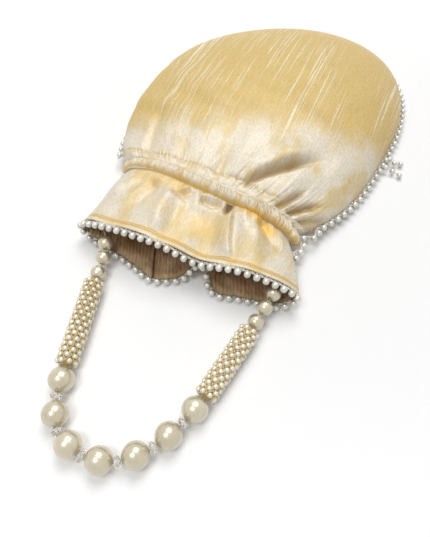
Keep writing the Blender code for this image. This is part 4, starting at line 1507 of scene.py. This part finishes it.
@dataclass
class PearlEdging:
    """The crocheted edgings: pearls on a thread that dips to the hem between them."""

    form: PouchForm
    outfit: Outfit
    mouth_radius: float = 0.0022
    mouth_pitch: float = 0.0056
    seam_radius: float = 0.0020
    seam_pitch: float = 0.0064
    tail_pitch: float = 0.0046
    run_on: float = 0.35
    clear_of_casing: float = 0.007
    thread: float = 0.00038
    thread_steps: int = 10
    knot_radius: float = 0.00062
    tails: tuple[tuple[tuple[float, float, float], ...], ...] = (
        ((0.0958, -0.0152, 0.0050), (0.0998, -0.0162, 0.0034), (0.1043, -0.0145, 0.0026)),
        ((0.0949, -0.0245, 0.0048), (0.0996, -0.0243, 0.0032), (0.1058, -0.0258, 0.0026)),
    )

    def build(self) -> None:
        """Makes both edgings and the loose ends."""
        line, inward = self._mouth_line()
        self._edging("mouth_trim", line, inward, self.mouth_pitch, self.mouth_radius, 3, True)
        line, inward = self._seam_line()
        self._edging("seam_trim", line, inward, self.seam_pitch, self.seam_radius, 2, False)
        for i, tail in enumerate(self.tails):
            self._tail(f"trim_tail_{i + 1}", np.array(tail))

    def _mouth_line(self) -> tuple[Array, Array]:
        """The line of the pearls round the mouth, just past the cloth's edge.

        Returns:
            The line, and directions from it back to the edge.
        """
        form, share = self.form, np.linspace(-1, 1, 640, endpoint=False)
        edge, inner = self._mid_cloth(share, 0.0), self._mid_cloth(share, 0.15)
        along = unit(form.round(share + 0.01, 0.0) - form.round(share - 0.01, 0.0))
        out = edge - inner
        out = unit(out - along * (out * along).sum(axis=1, keepdims=True))
        line = edge + out * (self.mouth_radius + form.clearance)
        line[:, 2] = np.maximum(line[:, 2], self.mouth_radius + form.clearance)
        return line, unit(edge - line)

    def _mid_cloth(self, share: Array, v: float) -> Array:
        """Points in the middle of the cloth's thickness: half of it inwards, square to the pouch.

        Args:
            share: How far round, from -1 to 1.
            v: The place along the pouch.

        Returns:
            The points.
        """
        form = self.form
        across = form.round(share + 0.01, v) - form.round(share - 0.01, v)
        down = form.round(share, v + 0.01) - form.round(share, max(v - 0.01, 0))
        return form.round(share, v) - unit(np.cross(across, down)) * form.cloth / 2

    def _seam_line(self) -> tuple[Array, Array]:
        """The seam's line from the left of the neck round the base to the right, past the panels' edges.

        Returns:
            The line, and directions from it back to the seam.
        """
        form = self.form
        start = 1 + (form.casing_half + self.seam_radius) / form.shoulder_length
        up = [np.linspace(start, 2, 60, endpoint=False), np.linspace(2, 3, 60, endpoint=False)]
        up = np.concatenate(up)
        down = [np.linspace(3, 2, 60, endpoint=False), np.linspace(2, 1, 80, endpoint=False)]
        down = np.concatenate([*down, np.linspace(1, 1 - self.run_on, 24)])
        u, v = np.concatenate([0 * up - 1, 0 * down + 1]), np.concatenate([up, down])
        edge = form.place(Side.FRONT, u, v)
        along = v - 1
        length_of_v = np.where(along > 0, form.shoulder_length, form.ruffle_length)
        over = np.abs(along) * length_of_v / (form.casing_half + self.clear_of_casing)
        casing = (form.casing_stand + form.seam_room + 3 * form.clearance) * (1 - ease(over * 1.6 - 0.6))
        off_middle = edge[:, 0] - through(form.middle, edge[:, 1])
        out = unit(np.stack([off_middle, np.maximum(edge[:, 1], 0.0), 0 * v], axis=-1))
        line = edge + out * (self.seam_radius + form.clearance + casing)[:, None]
        line[:, 2] -= form.back_edge_drop / 2
        return line, -out

    def _edging(self, node: str, line: Array, inward: Array, pitch: float, radius: float, each: int,
                closed: bool) -> None:
        """Pearls where the solid has them, and a crocheted thread that loops between them and the hem.

        Args:
            node: The CAD node that it stands for.
            line: The line of the pearls' centres.
            inward: Directions from that line to the cloth.
            pitch: The step from pearl to pearl.
            radius: The pearls' radius.
            each: The solid's rings for each pearl.
            closed: Whether the edging goes all round.
        """
        rings = spaced(line, pitch / each, closed)
        whole = len(rings) - len(rings) % each
        rings = spaced(line, pitch / each * len(rings) / whole, closed)
        centres = rings[1::each]
        dice = np.random.default_rng(len(centres))
        points, faces = many(ball(12, 8), centres, radius * dice.uniform(0.97, 1.03, len(centres)))
        own = np.repeat(dice.uniform(0, 1, len(centres)), len(points) // len(centres))
        piece = triangles(f"{node}_pearls", [(points, faces)], self.outfit.trim_pearl, {"own": own})
        settle(piece, "pouch", [node])
        self._crochet(f"{node}_crochet", rings, line, inward, each, radius, closed)

    def _crochet(self, name: str, rings: Array, line: Array, inward: Array, each: int, radius: float,
                 closed: bool) -> None:
        """Two threads along the pearls that swing to the hem and back, crossing, and a knot between pearls.

        Each thread lies off the line, towards the hem, by radius * (a + b cos) of its place between pearls.

        Args:
            name: The piece's name.
            rings: The solid's rings, along the line of the pearls' centres.
            line: That line.
            inward: Directions from the line to the cloth.
            each: Rings for each pearl.
            radius: The pearls' radius.
            closed: Whether the edging goes all round.
        """
        steps = self.thread_steps
        per = steps * each
        count = len(rings) * steps
        at = np.arange(count) / per - 1 / each
        stops = np.vstack([rings, rings[:1] if closed else rings[-1:]])
        along, marks = np.arange(count) / steps, np.arange(len(stops))
        base = np.stack([np.interp(along, marks, stops[:, k]) for k in range(3)], axis=1)
        if not closed:
            base, at = base[:count - steps + 1], at[:count - steps + 1]
        side = self._towards_hem(base, line, inward)
        wave = np.cos(2 * math.pi * at)[:, None]
        ripple = np.sin(2 * math.pi * at * 3)[:, None]
        up = np.array([0.0, 0.0, 1.0])
        swing = base + side * radius * (0.62 - 0.55 * wave) + up * radius * 0.16 * ripple
        counter = base + side * radius * (0.98 + 0.16 * wave) - up * radius * 0.20 * ripple
        knots = base[(at + 0.5) % 1.0 < 0.5 / per]
        parts = [tube(swing, self.thread, 6, closed), tube(counter, self.thread * 1.1, 6, closed)]
        at_hem = knots + self._towards_hem(knots, line, inward) * radius * 0.80
        parts.append(many(ball(8, 6), at_hem, self.knot_radius))
        piece = triangles(name, parts, self.outfit.white_thread)
        settle(piece, "pouch")

    def _towards_hem(self, points: Array, line: Array, inward: Array) -> Array:
        """The direction to the cloth at the line's nearest point, trying every fourth point of the line."""
        nearest = ((points[:, None] - line[None, ::4]) ** 2).sum(axis=-1).argmin(axis=1)
        return inward[::4][nearest]

    def _tail(self, node: str, stops: Array) -> None:
        """A loose end of the edging: pearls on their thread.

        Args:
            node: The CAD node that it stands for.
            stops: Points along it.
        """
        t = np.linspace(0, 2, 41)
        path = np.stack([np.interp(t, [0, 1, 2], stops[:, k]) for k in range(3)], axis=1)
        centres = spaced(path, self.tail_pitch, False)
        points, faces = many(ball(12, 8), centres, self.seam_radius)
        own = np.repeat(np.linspace(0.2, 0.8, len(centres)), len(points) // len(centres))
        piece = triangles(f"{node}_pearls", [(points, faces)], self.outfit.trim_pearl, {"own": own})
        settle(piece, "pouch", [node])
        cord = triangles(f"{node}_thread", [tube(path, self.thread, 6)], self.outfit.white_thread)
        settle(cord, "pouch")


@dataclass
class StrungHandle:
    """The handle: pearls, cut crystals and netted sleeves on one string."""

    outfit: Outfit
    big_radius: float = 0.007
    side_radius: float = 0.0047
    big_bore: float = 0.12
    side_bore: float = 0.16
    crystal_radius: float = 0.0032
    crystal_length: float = 0.0031
    crystal_corners: int = 8
    crystal_profile: Stops = (
        (-1.0, 0.50), (-0.60, 0.86), (-0.20, 1.0), (0.30, 0.98), (0.68, 0.82), (1.0, 0.48),
    )
    sleeve_core: float = 0.0041
    sleeve_pearl: float = 0.00164
    sleeve_lattice: float = 0.0049
    round_count: int = 7
    row_count: int = 17
    net_thread: float = 0.00027
    net_stand: float = 0.0006
    net_weave: float = 0.0003
    core_ripple: float = 0.00012
    core_pitch: float = 0.0011

    def build(self) -> None:
        """Dresses each bead where its solid lies."""
        for side in ("left", "right"):
            for i in (1, 2, 3):
                self._pearl(f"side_pearl_{side}_{i}", self.side_radius)
            self._sleeve(f"pearl_sleeve_{side}")
        for i in range(1, 8):
            self._pearl(f"big_pearl_{i}", self.big_radius)
        for i in range(1, 7):
            self._crystal(f"crystal_{i}")
        for node in frame["nodes"]:
            if "string" in node or "knot" in node:
                self._repaint(node, self.outfit.white_thread)
        self._repaint("neck_elastic", self.outfit.elastic)

    def _repaint(self, node: str, paint: Material) -> None:
        """Gives a CAD node that stays its finish.

        Args:
            node: The node.
            paint: Its material.
        """
        mesh = frame["nodes"][node].data
        mesh.materials.clear()
        mesh.materials.append(paint)

    def _axis(self, node: str) -> tuple[Array, Array, float]:
        """How a bead lies, from its solid.

        Its axis is the direction about which its vertices spread evenly, which is the odd one out of the
        three main directions of their spread.

        Args:
            node: The bead's CAD node.

        Returns:
            Its centre, its axis and its length.
        """
        points = node_points(node)
        centre = (points.max(axis=0) + points.min(axis=0)) / 2
        size, axes = np.linalg.eigh(np.cov((points - points.mean(axis=0)).T))
        odd = 2 if size[2] - size[1] > size[1] - size[0] else 0
        axis = axes[:, odd] * (1 if axes[1, odd] < 0 else -1)
        reach = (points - centre) @ axis
        centre = centre + axis * (reach.max() + reach.min()) / 2
        return centre, axis, float(reach.max() - reach.min())

    def _turned(self, centre: Array, axis: Array, along: Array, radius: Array, turns: int,
                offset: Array | float = 0.0) -> Array:
        """A profile carried round an axis.

        Args:
            centre: Where the axis starts.
            axis: Its direction.
            along: A length along the axis for each ring.
            radius: A radius for each ring.
            turns: Points in a ring.
            offset: How far each ring is turned, in radians.

        Returns:
            The points, (rings, turns, 3).
        """
        aside = unit(np.cross(axis, BESIDE_BEADS))
        up = np.cross(axis, aside)
        offset = np.broadcast_to(offset, len(along))[:, None]
        angle = np.linspace(0, 2 * math.pi, turns, endpoint=False)[None] + offset
        wide = np.cos(angle)[..., None] * aside + np.sin(angle)[..., None] * up
        return centre + along[:, None, None] * axis + wide * radius[:, None, None]

    def _pearl(self, node: str, radius: float) -> None:
        """A round pearl with a small drilled mouth at each end of its bore.

        Args:
            node: The pearl's CAD node.
            radius: Its radius.
        """
        centre, axis, _ = self._axis(node)
        bore = self.big_bore if radius == self.big_radius else self.side_bore
        a = np.linspace(bore, math.pi - bore, 34)
        along = -np.cos(a) * radius
        rings = np.sin(a) * radius
        along = np.concatenate([[along[0] + radius * 0.25], along, [along[-1] - radius * 0.25]])
        rings = np.concatenate([[rings[0] * 0.7], rings, [rings[-1] * 0.7]])
        points = self._turned(centre, axis, along, rings, 44)
        own = np.full(points.shape[:2], (len(node) * 7 + ord(node[-1]) * 3) % 10 / 10)
        piece = Grid(points, closed=True, values={"own": own}).make(f"{node}_nacre", self.outfit.handle_pearl)
        settle(piece, body_of(node), [node])

    def _crystal(self, node: str) -> None:
        """A cut bead: rings of corners, each turned half a step from the last, joined by flat triangles.

        Args:
            node: The bead's CAD node.
        """
        centre, axis, length = self._axis(node)
        half = max(length, self.crystal_length) / 2
        along, rings = np.array(self.crystal_profile).T
        corners, last = self.crystal_corners, len(along) - 1
        turn = np.arange(len(along)) * math.pi / corners
        points = self._turned(centre, axis, along * half, rings * self.crystal_radius, corners, turn)
        caps = centre + np.array([-1.0, 1.0])[:, None] * half * axis
        flat = np.concatenate([points.reshape(-1, 3), caps])
        r, c = (n.ravel() for n in np.meshgrid(np.arange(last), np.arange(corners), indexing="ij"))
        here, right = r * corners + c, r * corners + (c + 1) % corners
        ahead, back = (r + 1) * corners + c, (r + 1) * corners + (c - 1) % corners
        c, end = np.arange(corners), last * corners
        low, top = np.full(corners, len(flat) - 2), np.full(corners, len(flat) - 1)
        faces = np.concatenate([np.stack([here, right, ahead], 1), np.stack([here, ahead, back], 1),
                                np.stack([low, (c + 1) % corners, c], 1),
                                np.stack([top, end + c, end + (c + 1) % corners], 1)])
        counts = np.full(len(faces), 3)
        piece = new_piece(f"{node}_cut", flat, faces.ravel(), counts, self.outfit.crystal, smooth=False)
        settle(piece, body_of(node), [node])

    def _sleeve(self, node: str) -> None:
        """A sleeve of small pearls netted over a wound core, with gold thread crossing between them.

        The pearls stand on a cylinder in rings, every second ring turned by half a step. The threads wind
        along the cylinder in two families, one to each hand, at the slope of the pearls' diagonals.

        Args:
            node: The sleeve's CAD node.
        """
        centre, axis, length = self._axis(node)
        start = centre - axis * length / 2
        rows = np.arange(self.row_count)
        step = (length - 2 * self.sleeve_pearl) / (self.row_count - 1)
        along = self.sleeve_pearl + rows * step
        offset = (rows % 2) * math.pi / self.round_count
        radius = np.full(len(rows), self.sleeve_lattice)
        centres = self._turned(start, axis, along, radius, self.round_count, offset).reshape(-1, 3)
        dice = np.random.default_rng(77)
        beads, faces = many(ball(12, 8), centres, self.sleeve_pearl * dice.uniform(0.96, 1.04, len(centres)))
        own = np.repeat(dice.uniform(0, 1, len(centres)), len(beads) // len(centres))
        piece = triangles(f"{node}_pearls", [(beads, faces)], self.outfit.sleeve_pearl, {"own": own})
        settle(piece, body_of(node), [node])
        core = triangles(f"{node}_core", [self._core(start, axis, length)], self.outfit.core_thread)
        settle(core, body_of(node))
        net = triangles(f"{node}_net", self._net(start, axis, length, step), self.outfit.gold_thread)
        settle(net, body_of(node))

    def _net(self, start: Array, axis: Array, length: float, step: float) -> list[Mesh]:
        """The threads of a sleeve: helices over and under each other, between the pearls.

        Args:
            start: The sleeve's end.
            axis: Its direction.
            length: Its length.
            step: The length from ring to ring of pearls.

        Returns:
            Each thread's points and triangles.
        """
        threads = []
        aside = unit(np.cross(axis, BESIDE_BEADS))
        up = np.cross(axis, aside)
        t = np.linspace(0.02, 0.98, 150)
        slope = math.pi / self.round_count / step
        for hand in (-1, 1):
            for k in range(self.round_count):
                first = (k + 0.5) * 2 * math.pi / self.round_count
                angle = hand * slope * (t * length - self.sleeve_pearl) + first
                wide = np.cos(angle)[:, None] * aside + np.sin(angle)[:, None] * up
                weave = self.net_weave * hand * np.sin(angle * self.round_count)
                radius = self.sleeve_lattice + self.net_stand + weave
                path = start + axis * (t * length)[:, None] + wide * radius[:, None]
                threads.append(tube(path, self.net_thread, 5))
        return threads

    def _core(self, start: Array, axis: Array, length: float) -> tuple[Array, Array]:
        """The wound core: a cylinder whose radius ripples along it, rounded in at both ends.

        Args:
            start: The sleeve's end.
            axis: Its direction.
            length: Its length.

        Returns:
            The points and triangles.
        """
        t = np.linspace(0, 1, 140)
        ends = np.sqrt(np.clip(1 - (np.abs(2 * t - 1) ** 24), 0, 1))
        wound = self.sleeve_core + self.core_ripple * np.cos(t * length * 2 * math.pi / self.core_pitch)
        return tube(start + axis * (t * length)[:, None], wound * np.maximum(ends, 0.25), 20)


@dataclass
class Studio:
    """The floor, the light and the camera."""

    aim: tuple[float, float, float] = (0.017, -0.149, 0.0)
    azimuth: float = 24.0
    elevation: float = 58.0
    distance: float = 0.2821
    lens_pixels: float = 450.0
    long_side: float = 537.0
    sensor: float = 36.0

    def build(self) -> None:
        """Makes them all."""
        bpy.context.scene.view_settings.view_transform = "Standard"
        self.floor()
        self.lights()
        self.camera()

    def floor(self) -> None:
        """A plain white floor under the pouch, which looks white also where the lamps don't reach it."""
        side = np.array([-1.0, 1.0]) * 3.0
        x, y = np.meshgrid(side, side)
        p = Paint("white_floor")
        x_, y_, _ = p.where()
        grain = p.noise(x_ * 40, y_ * 40, 0.0, 2)
        white = p.seen() * ((x_ * x_ + y_ * y_) ** 0.5).eased(0.10, 0.9) * 0.78
        colour = p.mixed((0.97, 0.97, 0.97), (0.985, 0.985, 0.985), grain)
        shine = p.mixed((0.0, 0.0, 0.0), (1.0, 1.0, 1.0), white)
        paint = p.finish(Base_Color=colour, Roughness=0.9, Specular_IOR_Level=0.1, Emission_Color=shine,
                         Emission_Strength=1.0)
        piece = Grid(np.stack([x, y, 0 * x - 0.0002], axis=-1)).make("floor", paint)

    def lights(self) -> None:
        """A sky that looks white and sheds a faint even light, a broad lamp and one near the camera."""
        sky = Paint("sky", sky=True)
        bpy.context.scene.world = sky.finish(Color=(1.0, 1.0, 1.0), Strength=0.32 + sky.seen() * 0.68)
        self._lamp("broad_lamp", (-0.10, 0.40, 1.12), 0.75, 8.3)
        self._lamp("near_lamp", (-0.18, -0.50, 1.00), 0.40, 3.1)

    def _lamp(self, name: str, where: tuple[float, float, float], size: float, watts: float) -> None:
        """A square lamp that faces the pouch.

        Args:
            name: Its name.
            where: Its place.
            size: Its side.
            watts: Its power.
        """
        data = bpy.data.lights.new(name, "AREA")
        data.shape, data.size, data.energy = "SQUARE", size, watts
        lamp = bpy.data.objects.new(name, data)
        lamp.location = where
        lamp.rotation_mode = "QUATERNION"
        lamp.rotation_quaternion = (Vector(where) - Vector((0.0, -0.06, 0.0))).to_track_quat("Z", "Y")
        bpy.context.scene.collection.objects.link(lamp)

    def camera(self) -> None:
        """The camera at the photograph's angle, aimed at a point of the table."""
        a, e = math.radians(self.azimuth), math.radians(self.elevation)
        back = Vector((math.sin(a) * math.cos(e), -math.cos(a) * math.cos(e), math.sin(e)))
        data = bpy.data.cameras.new("camera")
        data.sensor_width = self.sensor
        data.lens = self.sensor * self.lens_pixels / self.long_side
        data.clip_start = 0.01
        camera = bpy.data.objects.new("camera", data)
        camera.location = Vector(self.aim) + back * self.distance
        camera.rotation_mode = "QUATERNION"
        camera.rotation_quaternion = (-back).to_track_quat("-Z", "Y")
        bpy.context.scene.collection.objects.link(camera)
        bpy.context.scene.camera = camera


def main() -> None:
    """Builds the dressed potli and its studio."""
    logging.basicConfig(level=logging.INFO, format="%(message)s")
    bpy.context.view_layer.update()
    form, outfit = PouchForm(), Outfit()
    Pouch(form, Drape(form), outfit).build()
    PearlEdging(form, outfit).build()
    StrungHandle(outfit).build()
    Studio().build()


if __name__ == "__main__":
    main()
